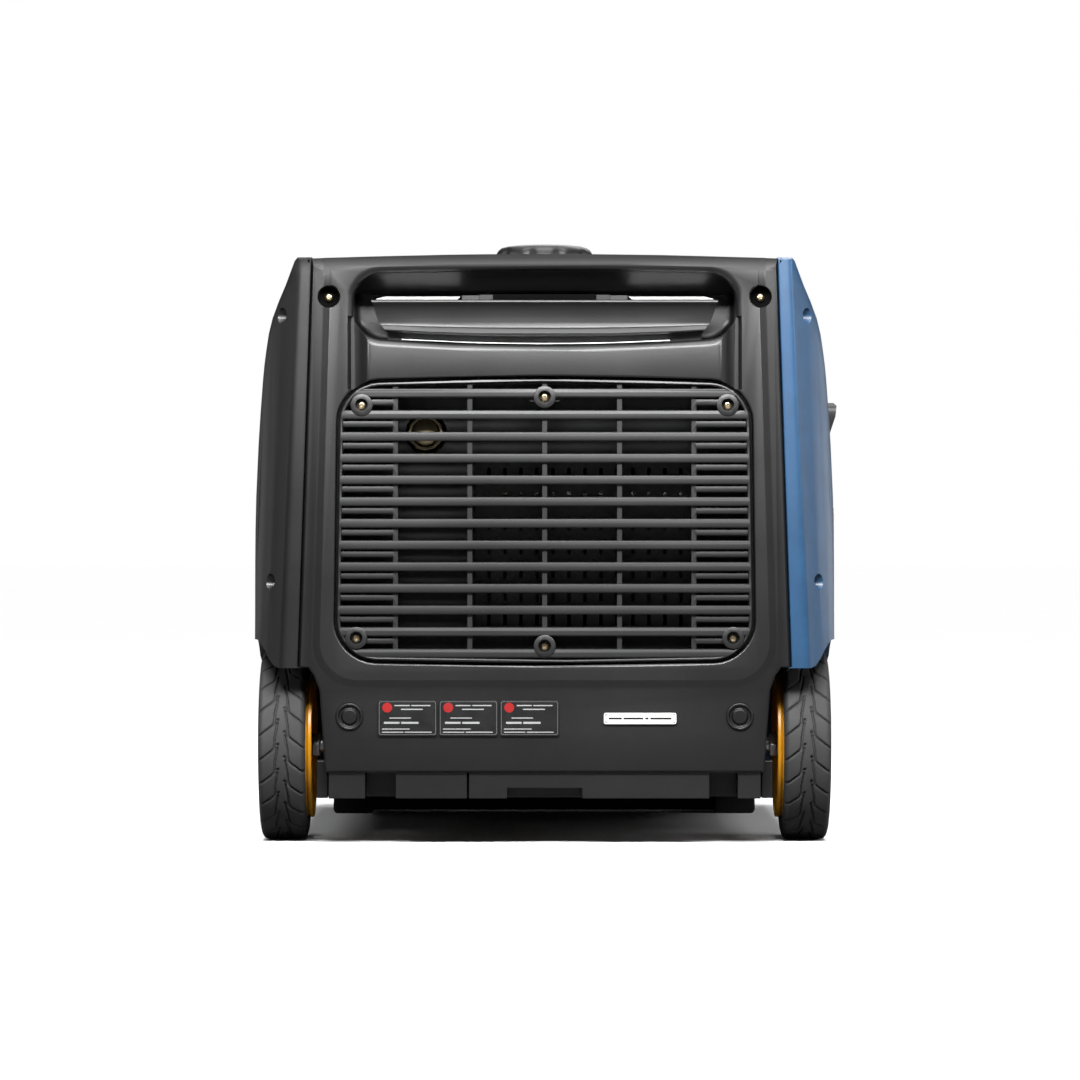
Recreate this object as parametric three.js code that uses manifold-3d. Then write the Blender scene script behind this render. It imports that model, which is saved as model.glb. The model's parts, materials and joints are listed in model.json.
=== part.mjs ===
// Portable inverter generator in a closed wheeled housing, as an assembly of separate pieces.
//
// Units are millimetres. +Z is up and the wheels and feet stand on Z = 0. The exhaust end, with
// the wheels, faces -Y; the tow handle comes out of the +Y end; the controls are on the +X side.
import * as THREE from 'three';
import { mergeVertices } from 'three/addons/utils/BufferGeometryUtils.js';
import Module from 'manifold-3d';

const wasm = await Module();
wasm.setup();

// ---- Driving dimensions ----------------------------------------------------------------------
const HALF_LENGTH = 300;      // housing, from the middle to either end
const HALF_WIDTH = 232.5;     // side panels at their widest
const CONTROL_REACH = 246;    // starter grip and engine dial, the furthest things on the +X side
const CROWN_Z = 467.2;        // top of the housing in the middle
const SHOULDER_Z = 463.8;     // top of the housing at the seams with the side panels
const PANEL_TOP_Z = 470.2;    // top of the side panels, a little above the seam
const SEAM_TOP_X = 184;       // seam between end panel and side panel, at SHOULDER_Z
const SEAM_LOW_X = 195;       // the same seam at SKIRT_Z
const SKIRT_Z = 139.8;        // the upper end panel stops here and steps in to the lower panel
const LOWER_EDGE_Z = 57;      // bottom edge of the lower panel
const SKID_Z = 36.4;          // underside of the skid blocks
const WALL = 4;               // moulded walls
const GAP = 0.3;              // between pieces that touch
const END_DEPTH = 60;         // how far an end panel wraps round the housing
const COVER_HALF_LENGTH = HALF_LENGTH - END_DEPTH;

const WHEEL_RADIUS = 76;
const TYRE_WIDTH = 37.5;
const RIM_RADIUS = 59;
const WHEEL_X = 208.8;
const WHEEL_Y = -215;
const AXLE_RADIUS = 6.3;
const ARCH_RADIUS = 86;       // wheel arch, round the axle

const CRANK_Y = 10;           // the crankshaft lies along X here
const CRANK_Z = 185;
const CYLINDER_TILT = THREE.MathUtils.degToRad(25);
const GRIP_Z = 337;           // starter grip
const DIAL_Z = 247;           // engine dial
const TOW_X = 150;            // tow handle tubes
const TOW_Z = 425;

// ---- Finishes --------------------------------------------------------------------------------
const BLACK = { color: 0x2b2b2c, roughness: 0.6, metalness: 0 };
const DARK = { color: 0x1c1c1d, roughness: 0.7, metalness: 0 };
const BLUE = { color: 0x2f5f8c, roughness: 0.5, metalness: 0 };
const ORANGE = { color: 0xd98a14, roughness: 0.45, metalness: 0 };
const RUBBER = { color: 0x202020, roughness: 0.85, metalness: 0 };
const STEEL = { color: 0xa9acb0, roughness: 0.35, metalness: 1 };
const ALUMINIUM = { color: 0xb8babc, roughness: 0.45, metalness: 1 };
const HOT_STEEL = { color: 0x8d8064, roughness: 0.5, metalness: 1 };
const COPPER = { color: 0xa65a2a, roughness: 0.5, metalness: 1 };
const TANK = { color: 0x3a3a3c, roughness: 0.5, metalness: 0 };
const ROPE = { color: 0x4a4a4c, roughness: 0.9, metalness: 0 };

// ---- Solids ----------------------------------------------------------------------------------
// A closed geometry as a solid that can be joined and cut.
function solid(geometry) {
  const bare = new THREE.BufferGeometry();
  bare.setAttribute('position', geometry.attributes.position);
  if (geometry.index) bare.setIndex(geometry.index);
  const merged = mergeVertices(bare, 1e-3);
  const corners = merged.index.array;
  const kept = [];
  for (let i = 0; i < corners.length; i += 3) {
    const [a, b, c] = [corners[i], corners[i + 1], corners[i + 2]];
    if (a !== b && b !== c && a !== c) kept.push(a, b, c);
  }
  const mesh = (triangles) => new wasm.Manifold(new wasm.Mesh({
    numProp: 3,
    vertProperties: new Float32Array(merged.attributes.position.array),
    triVerts: new Uint32Array(triangles),
  }));
  const made = mesh(kept);
  return made.volume() > 0 ? made : mesh(kept.reverse());
}

const generator = new THREE.Group();

// Adds one named piece to a group, at a position and rotation.
function piece(name, shape, finish, position = [0, 0, 0], rotation = [0, 0, 0], group = generator) {
  const { vertProperties, triVerts } = shape.getMesh();
  const geometry = new THREE.BufferGeometry();
  geometry.setAttribute('position', new THREE.BufferAttribute(new Float32Array(vertProperties), 3));
  geometry.setIndex(new THREE.BufferAttribute(new Uint32Array(triVerts), 1));
  const mesh = new THREE.Mesh(geometry, new THREE.MeshStandardMaterial(finish));
  mesh.name = name;
  mesh.position.set(...position);
  mesh.rotation.set(...rotation);
  group.add(mesh);
  return mesh;
}

const AXIS_X = new THREE.Vector3(1, 0, 0);
const AXIS_Y = new THREE.Vector3(0, 1, 0);
const AXIS_Z = new THREE.Vector3(0, 0, 1);

function extruded(shape, depth, segments) {
  return new THREE.ExtrudeGeometry(shape, { depth, bevelEnabled: false, curveSegments: segments });
}

// An outline in X and Z, carried along Y from y0 to y1.
function alongY(shape, y0, y1, segments = 3) {
  const turn = new THREE.Matrix4().makeBasis(AXIS_X, AXIS_Z, AXIS_Y.clone().negate());
  return solid(extruded(shape, y1 - y0, segments).applyMatrix4(turn).translate(0, y1, 0));
}

// An outline in Y and Z, carried along X from x0 to x1.
function alongX(shape, x0, x1, segments = 3) {
  const turn = new THREE.Matrix4().makeBasis(AXIS_Y, AXIS_Z, AXIS_X);
  return solid(extruded(shape, x1 - x0, segments).applyMatrix4(turn).translate(x0, 0, 0));
}

// An outline in X and Y, carried along Z from z0 to z1.
function alongZ(shape, z0, z1, segments = 3) {
  return solid(extruded(shape, z1 - z0, segments).translate(0, 0, z0));
}

function block(x0, x1, y0, y1, z0, z1) {
  const box = new THREE.BoxGeometry(x1 - x0, y1 - y0, z1 - z0);
  return solid(box.translate((x0 + x1) / 2, (y0 + y1) / 2, (z0 + z1) / 2));
}

function drumX(radius, x0, x1, y = 0, z = 0, sides = 12) {
  const drum = new THREE.CylinderGeometry(radius, radius, x1 - x0, sides);
  return solid(drum.rotateZ(-Math.PI / 2).translate((x0 + x1) / 2, y, z));
}

function drumY(radius, y0, y1, x = 0, z = 0, sides = 12) {
  const drum = new THREE.CylinderGeometry(radius, radius, y1 - y0, sides);
  return solid(drum.translate(x, (y0 + y1) / 2, z));
}

function drumZ(radius, z0, z1, x = 0, y = 0, sides = 12) {
  const drum = new THREE.CylinderGeometry(radius, radius, z1 - z0, sides);
  return solid(drum.rotateX(Math.PI / 2).translate(x, y, (z0 + z1) / 2));
}

// A turned piece: its profile is a list of [radius, distance along the axis].
function turnedX(profile, sides = 20) {
  const lathe = new THREE.LatheGeometry(profile.map(([r, h]) => new THREE.Vector2(r, h)), sides);
  return solid(lathe.rotateZ(-Math.PI / 2));
}

function turnedZ(profile, sides = 20) {
  const lathe = new THREE.LatheGeometry(profile.map(([r, h]) => new THREE.Vector2(r, h)), sides);
  return solid(lathe.rotateX(Math.PI / 2));
}

const closed = (profile) => [...profile, profile[0]];
const outline = (points) => new THREE.Shape(points.map(([a, b]) => new THREE.Vector2(a, b)));
const mirrored = (points) => points.map(([a, b]) => [-a, b]).reverse();

function roundedRect(a0, a1, b0, b1, radius) {
  const shape = new THREE.Shape();
  shape.moveTo(a0 + radius, b0);
  shape.lineTo(a1 - radius, b0);
  shape.absarc(a1 - radius, b0 + radius, radius, -Math.PI / 2, 0);
  shape.lineTo(a1, b1 - radius);
  shape.absarc(a1 - radius, b1 - radius, radius, 0, Math.PI / 2);
  shape.lineTo(a0 + radius, b1);
  shape.absarc(a0 + radius, b1 - radius, radius, Math.PI / 2, Math.PI);
  shape.lineTo(a0, b0 + radius);
  shape.absarc(a0 + radius, b0 + radius, radius, Math.PI, 1.5 * Math.PI);
  return shape;
}

// A four-sided outline about X = 0 with round corners, of one half-width at its foot and another
// at its head.
function roundedQuad(footHalf, headHalf, low, high, radius) {
  const lean = (headHalf - footHalf) / (high - low) * radius;
  const shape = new THREE.Shape();
  shape.moveTo(radius - footHalf, low);
  shape.lineTo(footHalf - radius, low);
  shape.quadraticCurveTo(footHalf, low, footHalf + lean, low + radius);
  shape.lineTo(headHalf - lean, high - radius);
  shape.quadraticCurveTo(headHalf, high, headHalf - radius, high);
  shape.lineTo(radius - headHalf, high);
  shape.quadraticCurveTo(-headHalf, high, lean - headHalf, high - radius);
  shape.lineTo(-footHalf - lean, low + radius);
  shape.quadraticCurveTo(-footHalf, low, radius - footHalf, low);
  return shape;
}

// ---- Housing ---------------------------------------------------------------------------------
// The arched top of the housing, from one shoulder to the other.
function crown(half, inset) {
  const points = [];
  const steps = 8;
  for (let i = 0; i <= steps; i++) {
    const x = half * (1 - 2 * i / steps);
    points.push([x, SHOULDER_Z + (CROWN_Z - SHOULDER_Z) * (1 - (x / half) ** 2) - inset]);
  }
  return points;
}

// An end of the housing, seen square on: the arched upper part and the narrower lower panel.
const LOWER_TOP_X = 178.5;
const LOWER_FOOT_X = 174;
const LOWER_TOP_Z = 122;
const endSide = [
  [LOWER_FOOT_X, LOWER_EDGE_Z],
  [LOWER_TOP_X, LOWER_TOP_Z],
  [SEAM_LOW_X - 8, SKIRT_Z],
  [SEAM_LOW_X, SKIRT_Z],
];
const endOutline = outline([...endSide, ...crown(SEAM_TOP_X, 0), ...mirrored(endSide)]);

// What an end panel is hollowed by: everything behind its skin but the flange round its edge.
const hollowSide = [[SEAM_LOW_X + 5, 0], [SEAM_LOW_X + 5, SKIRT_Z], [SEAM_LOW_X - WALL, SKIRT_Z]];
const endHollow = outline([
  ...hollowSide,
  ...crown(SEAM_TOP_X - WALL, WALL),
  ...mirrored(hollowSide),
]);

const EDGE_ROUND = 5;

// The blank of an end panel at the -Y end: a rounded front edge, a skin and a flange.
function endBlank() {
  const body = new THREE.ExtrudeGeometry(endOutline, {
    depth: END_DEPTH, bevelEnabled: true, bevelSegments: 1, bevelThickness: EDGE_ROUND,
    bevelSize: EDGE_ROUND, bevelOffset: -EDGE_ROUND,
  });
  const turn = new THREE.Matrix4().makeBasis(AXIS_X, AXIS_Z, AXIS_Y.clone().negate());
  const front = EDGE_ROUND + END_DEPTH - HALF_LENGTH;
  const skin = -HALF_LENGTH + WALL;
  return solid(body.applyMatrix4(turn).translate(0, front, 0))
    .subtract(block(-250, 250, -COVER_HALF_LENGTH, 0, 0, 500))
    .subtract(alongY(endHollow, skin, -COVER_HALF_LENGTH + 1));
}

// -- Exhaust end panel
const GRILLE = { foot: 167, head: 164, low: 141.5, high: 370.6, corner: 33 };
const HANDLE_RECESS = { half: 155.3, low: 395, high: 459.5 };
const SCREW_X = 170.7;
const SCREW_Z = 433.4;
const PLUG_X = 154.3;
const PLUG_Z = 101.4;
const GRILLE_BACK_Y = -280;

function grilleOutline(grow) {
  const { foot, head, low, high, corner } = GRILLE;
  return roundedQuad(foot + grow, head + grow, low - grow, high + grow, corner + grow);
}

function rearEndPanel() {
  const face = -HALF_LENGTH;
  const { half, low, high } = HANDLE_RECESS;
  const lipY = GRILLE_BACK_Y - 3.6;
  // Walls behind the face: the handle pocket, the grille's well and the two hollows beside the bridge.
  const bridgeHalf = 141.5;
  let panel = endBlank()
    .add(alongY(roundedRect(-half - 3, half + 3, low - 3, high + 3, 12), face + 3, -241))
    .add(alongY(grilleOutline(3.5), face + 3, GRILLE_BACK_Y));
  for (const side of [-1, 1]) {
    const [inner, outer] = [side * (bridgeHalf - 2.5), side * (half + 2.5)];
    const [x0, x1] = [Math.min(inner, outer), Math.max(inner, outer)];
    panel = panel.add(block(x0, x1, face + 3, face + 12, 362, 396))
      .add(drumY(12, face + 3, face + 16, side * SCREW_X, SCREW_Z));
  }
  // The pocket: an upper wall that slopes back to the deep part behind the handle.
  const pocketSection = outline([
    [face - 1, low], [-244, low], [-244, 437.5], [-268, 437.5], [-294, high], [face - 1, high],
  ]);
  const pocket = alongX(pocketSection, -half, half)
    .intersect(alongY(roundedRect(-half, half, low, high, 12), face - 1, -244));
  panel = panel
    .subtract(pocket)
    .subtract(alongY(grilleOutline(0), face - 1, lipY))
    .subtract(alongY(grilleOutline(-6), lipY - 1, GRILLE_BACK_Y + 1));
  // The groove round the face.
  const groove = alongY(roundedQuad(185.5, 173, 123.5, 520, 36), face - 1, face + 2)
    .subtract(alongY(roundedQuad(179.5, 167, 129.5, 530, 31), face - 2, face + 3))
    .subtract(block(-250, 250, face - 2, face + 3, 455, 540));
  panel = panel.subtract(groove);
  for (const side of [-1, 1]) {
    const [x0, x1] = side < 0 ? [-half, -bridgeHalf] : [bridgeHalf, half];
    panel = panel
      .subtract(block(x0, x1, face - 1, face + 8, 362, low + 5))
      .subtract(drumY(8.9, face - 1, face + 8, side * SCREW_X, SCREW_Z))
      .subtract(drumY(4.4, face, face + 20, side * SCREW_X, SCREW_Z, 10))
      .subtract(drumY(11.2, face - 1, face + 2.2, side * PLUG_X, PLUG_Z, 20))
      .subtract(drumY(7.3, face, face + 6, side * PLUG_X, PLUG_Z));
    const [w0, w1] = side < 0 ? [-230, -187.5] : [187.5, 230];
    panel = panel.subtract(drumX(ARCH_RADIUS, w0, w1, WHEEL_Y, WHEEL_RADIUS, 20));
  }
  return panel;
}
piece('rear_end_panel', rearEndPanel(), BLACK);

// -- Plugs in the lower panel
const plug = drumY(10.9, -0.9, 0.9, 0, 0, 16).add(drumY(7, 0, 2.9));
for (const [name, side] of [['left', -1], ['right', 1]]) {
  piece(`lower_plug_${name}`, plug, DARK, [side * PLUG_X, -HALF_LENGTH + 1, PLUG_Z]);
}

// -- Exhaust grille: a rim, thirteen bars, five ribs and six screw bosses
const BAR_PITCH = 17.15;
const BAR_HEIGHT = 7.1;
const FIRST_BAR_Z = 360.8;
const BARS = 13;
const GRILLE_BOSSES = [[0, 354], [144.7, 347.7], [-144.7, 347.7], [0, 157.3], [149, 163.6], [-149, 163.6]];

function exhaustGrille() {
  const front = -298.5;
  const back = GRILLE_BACK_Y - 4;
  const rimOuter = grilleOutline(-2.4);
  let grille = alongY(rimOuter, front, back).subtract(alongY(grilleOutline(-5.4), front - 1, back + 1));
  const within = alongY(grilleOutline(-4), front - 1, back + 1);
  let bars = null;
  for (let i = 0; i < BARS; i++) {
    const top = FIRST_BAR_Z - i * BAR_PITCH;
    const bar = alongX(outline([
      [front, top - BAR_HEIGHT], [back - 2, top - BAR_HEIGHT], [back - 2, top], [front, top],
    ]), -170, 170);
    bars = bars ? bars.add(bar) : bar;
  }
  for (const x of [-118, -59.2, 0, 59.2, 118]) {
    bars = bars.add(block(x - 1.9, x + 1.9, back - 8, back, 130, 380));
  }
  grille = grille.add(bars.intersect(within));
  for (const [x, z] of GRILLE_BOSSES) {
    grille = grille.add(drumY(8.7, front - 1, back, x, z, 10));
  }
  for (const [x, z] of GRILLE_BOSSES) {
    grille = grille.subtract(drumY(5, front - 2, front + 5, x, z, 8));
  }
  return grille;
}
piece('exhaust_grille', exhaustGrille(), DARK);

// -- Grab handle in the exhaust end: a bar with a hollow front, on a foot along its lower edge
const handleSection = outline([
  [-297.5, 430.6], [-291, 428.5], [-286.5, 422], [-286, 414], [-290.4, 409.8], [-297.8, 408.2],
  [-299, 406.6], [-298.6, 403.4], [-296, 402], [-288, 402], [-287, HANDLE_RECESS.low + GAP],
  [-280, HANDLE_RECESS.low + GAP], [-279, 402], [-274, 404], [-272, 410], [-272, 424], [-276, 429.5],
  [-290, 431.2],
]);
const handleFace = outline([[-126, 390], [126, 390], [130, 404], [137.5, 431], [134, 440], [-134, 440],
  [-137.5, 431], [-130, 404]]);
piece('rear_grab_handle', alongX(handleSection, -140, 140).intersect(alongY(handleFace, -310, -260)), BLACK);

// -- Top cover, with the filler hole
const CAP_RADIUS = 43.5;
const COVER_FOOT_Z = 440;
const coverFoot = [[SEAM_TOP_X + 0.5, COVER_FOOT_Z], [SEAM_TOP_X + 0.5 - WALL, COVER_FOOT_Z]];
const coverOutline = outline([
  coverFoot[0], ...crown(SEAM_TOP_X, 0), ...mirrored(coverFoot).reverse(),
  ...crown(SEAM_TOP_X - WALL, WALL).reverse(), coverFoot[1],
]);
const coverEnd = COVER_HALF_LENGTH - GAP;
const topCover = alongY(coverOutline, -coverEnd, coverEnd)
  .add(drumZ(54, 461, CROWN_Z + 1.5, 0, 0, 20))
  .subtract(drumZ(CAP_RADIUS + 3, 440, 480, 0, 0, 20));
piece('top_cover', topCover, BLACK);

// -- Tow handle end panel: a pocket for the tow grip and an intake grille below it
const TOW_POCKET = { half: 170, low: 397, high: 455, back: 252 };
const INTAKE_SLOTS = 8;

function frontEndPanel() {
  const { half, low, high, back } = TOW_POCKET;
  const turn = (shape) => shape.rotate([0, 0, 180]);
  let panel = turn(endBlank())
    .add(alongY(roundedRect(-half - 3, half + 3, low - 3, high + 3, 12), back - 3, HALF_LENGTH - 3))
    .subtract(alongY(roundedRect(-half, half, low, high, 12), back, HALF_LENGTH + 1));
  for (const side of [-1, 1]) {
    panel = panel.subtract(drumY(8.6, back - 5, back + 5, side * TOW_X, TOW_Z, 12))
      .subtract(drumY(4.4, 290, 310, side * SCREW_X, 380, 10));
  }
  for (let i = 0; i < INTAKE_SLOTS; i++) {
    const z = 165 + i * 26;
    for (const [x0, x1] of [[-150, -4], [4, 150]]) {
      panel = panel.subtract(block(x0, x1, 290, 310, z, z + 14));
    }
  }
  return panel;
}
piece('front_end_panel', frontEndPanel(), BLACK);

// -- Side panels: bulging skins that narrow to a flat band at both ends
const BAND_TOP_X = 191;       // outer edge of the band at the top of the end face
const bulge = [
  [184.4, 463], [188, 469], [196, 470.2], [204, 463], [211, 439], [222, 411], [226, 378],
  [230.6, 305], [HALF_WIDTH, 225], [HALF_WIDTH, 147], [227, 85], [214, 38],
];
const innerEdge = [
  [190, 38], [190, 60], [179.2, 60], [179.2, LOWER_TOP_Z - 0.4],
  [188, SKIRT_Z - 0.4], [SEAM_LOW_X + 0.4, SKIRT_Z - 0.4],
];
const shrunk = (points, by) => points.map(([x, z]) => [x - by, Math.min(z, PANEL_TOP_Z - by)]);

// Seen from above: how the skin comes in towards each end.
const bevel = [
  [HALF_LENGTH, BAND_TOP_X], [295, 194], [280, 206.5], [255, 220], [215, 233], [170, 242],
];

function planOutline(inset) {
  const reach = HALF_LENGTH - inset;
  const half = bevel.map(([y, x]) => [x - inset, Math.min(y, reach)]);
  return outline([[100, -reach], ...half.map(([x, y]) => [x, -y]), ...half.slice().reverse(), [100, reach]]);
}

const endOutlineYZ = (inset) => {
  const top = PANEL_TOP_Z - inset;
  const reach = HALF_LENGTH - inset;
  const rise = [[reach, 10], [reach, top - 7.6], [reach - 9, top - 5.4], [reach - 50, top - 3.2], [reach - 140, top]];
  return outline([...rise, ...mirrored(rise)]);
};

// The plan is leaned so that the end band follows the slanting seam down the end face.
function leaned(shape, inset) {
  const lean = (SEAM_LOW_X - SEAM_TOP_X + 3) / (SHOULDER_Z - SKIRT_Z);
  const shear = new THREE.Matrix4().set(1, 0, -lean, lean * SHOULDER_Z, 0, 1, 0, 0, 0, 0, 1, 0, 0, 0, 0, 1);
  return solid(extruded(shape, 520 - inset, 5).applyMatrix4(shear));
}

function sideForm(inset, section) {
  return alongY(section, inset - HALF_LENGTH, HALF_LENGTH - inset)
    .intersect(leaned(planOutline(inset), inset))
    .intersect(alongX(endOutlineYZ(inset), 100, 260));
}

const SIDE_SCREWS = [[-246, 418], [-246, 208], [246, 418], [246, 208]];
const SKIN = 4.5;

// The wheel arch, in Y and Z: open at the end face, round behind the wheel.
const arch = new THREE.Shape();
arch.moveTo(-310, 10);
arch.lineTo(-310, SKIRT_Z);
arch.lineTo(-296, SKIRT_Z);
arch.quadraticCurveTo(-262, 162, WHEEL_Y, WHEEL_RADIUS + ARCH_RADIUS);
arch.absarc(WHEEL_Y, WHEEL_RADIUS, ARCH_RADIUS, Math.PI / 2, -0.2, true);
arch.lineTo(WHEEL_Y + ARCH_RADIUS + 4, 10);

function sideSkin() {
  const outerForm = sideForm(0, outline([...innerEdge, [184.4, 463], ...bulge.slice(1)]));
  const hollow = sideForm(SKIN, outline([[100, 38 + SKIN], [100, 480], ...shrunk(bulge.slice(1, -1), SKIN),
    [214 - SKIN, 38 + SKIN]]));
  let skin = outerForm.subtract(hollow);
  for (const [y, z] of SIDE_SCREWS) {
    skin = skin.add(drumX(12, 202, 240, y, z, 8).intersect(outerForm));
  }
  for (const [y, z] of SIDE_SCREWS) {
    skin = skin.subtract(drumX(8, 208, 240, y, z, 10));
  }
  return skin.subtract(alongX(arch, 150, 260, 8));
}

const skin = sideSkin();
const facing = (shape) => shape.mirror([1, 0, 0]);

// Right side: the opening for the control panel, and louvres behind it.
const CONTROL = { y0: -124, y1: 154, z0: 195, z1: 385, corner: 14 };
const { y0: CY0, y1: CY1, z0: CZ0, z1: CZ1, corner: CC } = CONTROL;
let rightSkin = skin.subtract(alongX(roundedRect(CY0, CY1, CZ0, CZ1, CC), 150, 260));
for (let i = 0; i < 6; i++) {
  rightSkin = rightSkin.subtract(block(150, 260, 185, 255, 232 + i * 18, 240 + i * 18));
}
piece('right_side_panel', rightSkin, BLUE);

// Left side: the service door, cut from the same skin, and louvres.
const DOOR = { y0: -150, y1: 60, z0: 185, z1: 365, corner: 16 };
const DOOR_GAP = 1.2;
const doorPrism = (grow) => alongX(roundedRect(DOOR.y0 - grow, DOOR.y1 + grow, DOOR.z0 - grow, DOOR.z1 + grow,
  DOOR.corner), 150, 260);
const LATCH = { y: -132, z: 275, radius: 11 };
let leftSkin = skin.subtract(doorPrism(0));
for (let i = 0; i < 8; i++) {
  leftSkin = leftSkin.subtract(block(150, 260, 100, 235, 200 + i * 18, 208 + i * 18));
}
piece('left_side_panel', facing(leftSkin), BLACK);

const latchHole = drumX(LATCH.radius + 0.5, 150, 260, LATCH.y, LATCH.z, 16);
const door = skin.intersect(doorPrism(-DOOR_GAP)).subtract(latchHole);
piece('service_door', facing(door), BLACK);
const latch = drumX(LATCH.radius, -3, 3, 0, 0, 16).subtract(block(-4, -1.5, -7, 7, -1.8, 1.8));
piece('service_door_latch', latch, DARK, [-227.8, LATCH.y, LATCH.z]);

// -- Base tray: floor, walls, skid blocks under the exhaust end
function baseTray() {
  const end = HALF_LENGTH - WALL - 0.4;
  const traySection = [
    [-173.5, LOWER_EDGE_Z], [173.5, LOWER_EDGE_Z], [176.2, SKIRT_Z - 8], [-176.2, SKIRT_Z - 8],
  ];
  let tray = alongY(outline(traySection), -end, end)
    .subtract(alongY(outline([[-169.5, 61], [169.5, 61], [172.2, 140], [-172.2, 140]]), 4 - end, end - 4));
  const skids = [[-171, -142], [-118, -61.4], [-60, 130.4], [152.7, 171]];
  for (const [x0, x1] of skids) {
    tray = tray.add(block(x0, x1, 6 - HALF_LENGTH, 50 - HALF_LENGTH, SKID_Z, LOWER_EDGE_Z + 1));
  }
  tray = tray.subtract(block(-29.6, 29.6, -310, 24 - HALF_LENGTH, SKID_Z - 1, 44.6));
  tray = tray.add(block(-165, 165, 38 - HALF_LENGTH, 46 - HALF_LENGTH, SKID_Z, LOWER_EDGE_Z + 1));
  for (const x0 of [-60, 46]) {
    tray = tray.add(block(x0, x0 + 14, 60 - HALF_LENGTH, HALF_LENGTH - 40, SKID_Z + 6, LOWER_EDGE_Z + 1));
  }
  return tray.subtract(drumX(AXLE_RADIUS + 0.4, -200, 200, WHEEL_Y, WHEEL_RADIUS));
}
piece('base_tray', baseTray(), DARK);

// ---- Wheels and feet -------------------------------------------------------------------------
piece('wheel_axle', drumX(AXLE_RADIUS, -229, 229, 0, 0, 12), STEEL, [0, WHEEL_Y, WHEEL_RADIUS]);

const halfTyre = TYRE_WIDTH / 2;
const tyre = turnedX(closed([
  [RIM_RADIUS + GAP, -15], [66, -halfTyre], [72.5, 1.2 - halfTyre], [WHEEL_RADIUS, 6 - halfTyre],
  [WHEEL_RADIUS, halfTyre - 6], [72.5, halfTyre - 1.2], [66, halfTyre], [RIM_RADIUS + GAP, 15],
]), 28);
const HUB_INNER = -23.5;      // the hub stands out on the side that faces the housing
const rim = turnedX(closed([
  [AXLE_RADIUS + 0.3, HUB_INNER], [18, HUB_INNER], [20, -6], [50, -5], [53, -14.5], [RIM_RADIUS - 0.5, -14.5],
  [RIM_RADIUS - 0.5, 14.5], [53, 14.5], [50, 5], [20, 6], [18, 19], [AXLE_RADIUS + 0.3, 19],
]), 20);
for (const [name, side] of [['left', -1], ['right', 1]]) {
  const wheel = new THREE.Group();
  wheel.position.set(side * WHEEL_X, WHEEL_Y, WHEEL_RADIUS);
  wheel.rotation.z = side < 0 ? Math.PI : 0;
  generator.add(wheel);
  piece(`tyre_${name}`, tyre, RUBBER, [0, 0, 0], [0, 0, 0], wheel);
  piece(`wheel_rim_${name}`, rim, ORANGE, [0, 0, 0], [0, 0, 0], wheel);
}

const FOOT_Y = 190;
const footSection = outline([
  [152, 0], [184, 0], [186, 3], [184, LOWER_EDGE_Z - GAP], [154, LOWER_EDGE_Z - GAP], [150, 3],
]);
for (const [name, side] of [['left', -1], ['right', 1]]) {
  const foot = alongY(footSection, FOOT_Y - 35, FOOT_Y + 35);
  piece(`front_foot_${name}`, side < 0 ? facing(foot) : foot, RUBBER);
}

// ---- Tow handle ------------------------------------------------------------------------------
const TOW_BAR_Y = 284;
const TUBE_RADIUS = 8;
const towFrame = drumY(TUBE_RADIUS, -50, TOW_BAR_Y, -TOW_X, TOW_Z, 12)
  .add(drumY(TUBE_RADIUS, -50, TOW_BAR_Y, TOW_X, TOW_Z, 12))
  .add(drumX(TUBE_RADIUS, -TOW_X - TUBE_RADIUS, TOW_X + TUBE_RADIUS, TOW_BAR_Y, TOW_Z, 12));
piece('tow_handle_frame', towFrame, STEEL);
const towGrip = turnedX(closed([
  [TUBE_RADIUS + 0.3, -105], [11, -105], [13, -98], [13, 98], [11, 105], [TUBE_RADIUS + 0.3, 105],
]), 16);
piece('tow_handle_grip', towGrip, RUBBER, [0, TOW_BAR_Y, TOW_Z]);
const guide = turnedX(closed([[TUBE_RADIUS + 0.4, 0], [11.5, 0], [11.5, 238], [TUBE_RADIUS + 0.4, 238]]), 12);
for (const [name, side] of [['left', -1], ['right', 1]]) {
  piece(`tow_handle_guide_${name}`, guide, DARK, [side * TOW_X, 0, TOW_Z], [0, 0, Math.PI / 2]);
}

// ---- Fuel system -----------------------------------------------------------------------------
const TANK_TOP_Z = 438;
const NECK_RADIUS = 27;
const tankBody = alongZ(roundedRect(-128, 128, -165, 150, 26), 352, TANK_TOP_Z, 4)
  .subtract(alongZ(roundedRect(-125, 125, -162, 147, 24), 355, TANK_TOP_Z - 3, 4))
  .subtract(drumZ(NECK_RADIUS - 4, 430, 450));
piece('fuel_tank', tankBody, TANK);
const neck = turnedZ(closed([
  [NECK_RADIUS - 4, TANK_TOP_Z + GAP], [NECK_RADIUS + 8, TANK_TOP_Z + GAP], [NECK_RADIUS + 8, TANK_TOP_Z + 4],
  [NECK_RADIUS, TANK_TOP_Z + 5], [NECK_RADIUS, 478], [NECK_RADIUS - 4, 478],
]), 20);
piece('fuel_filler_neck', neck, TANK);

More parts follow.
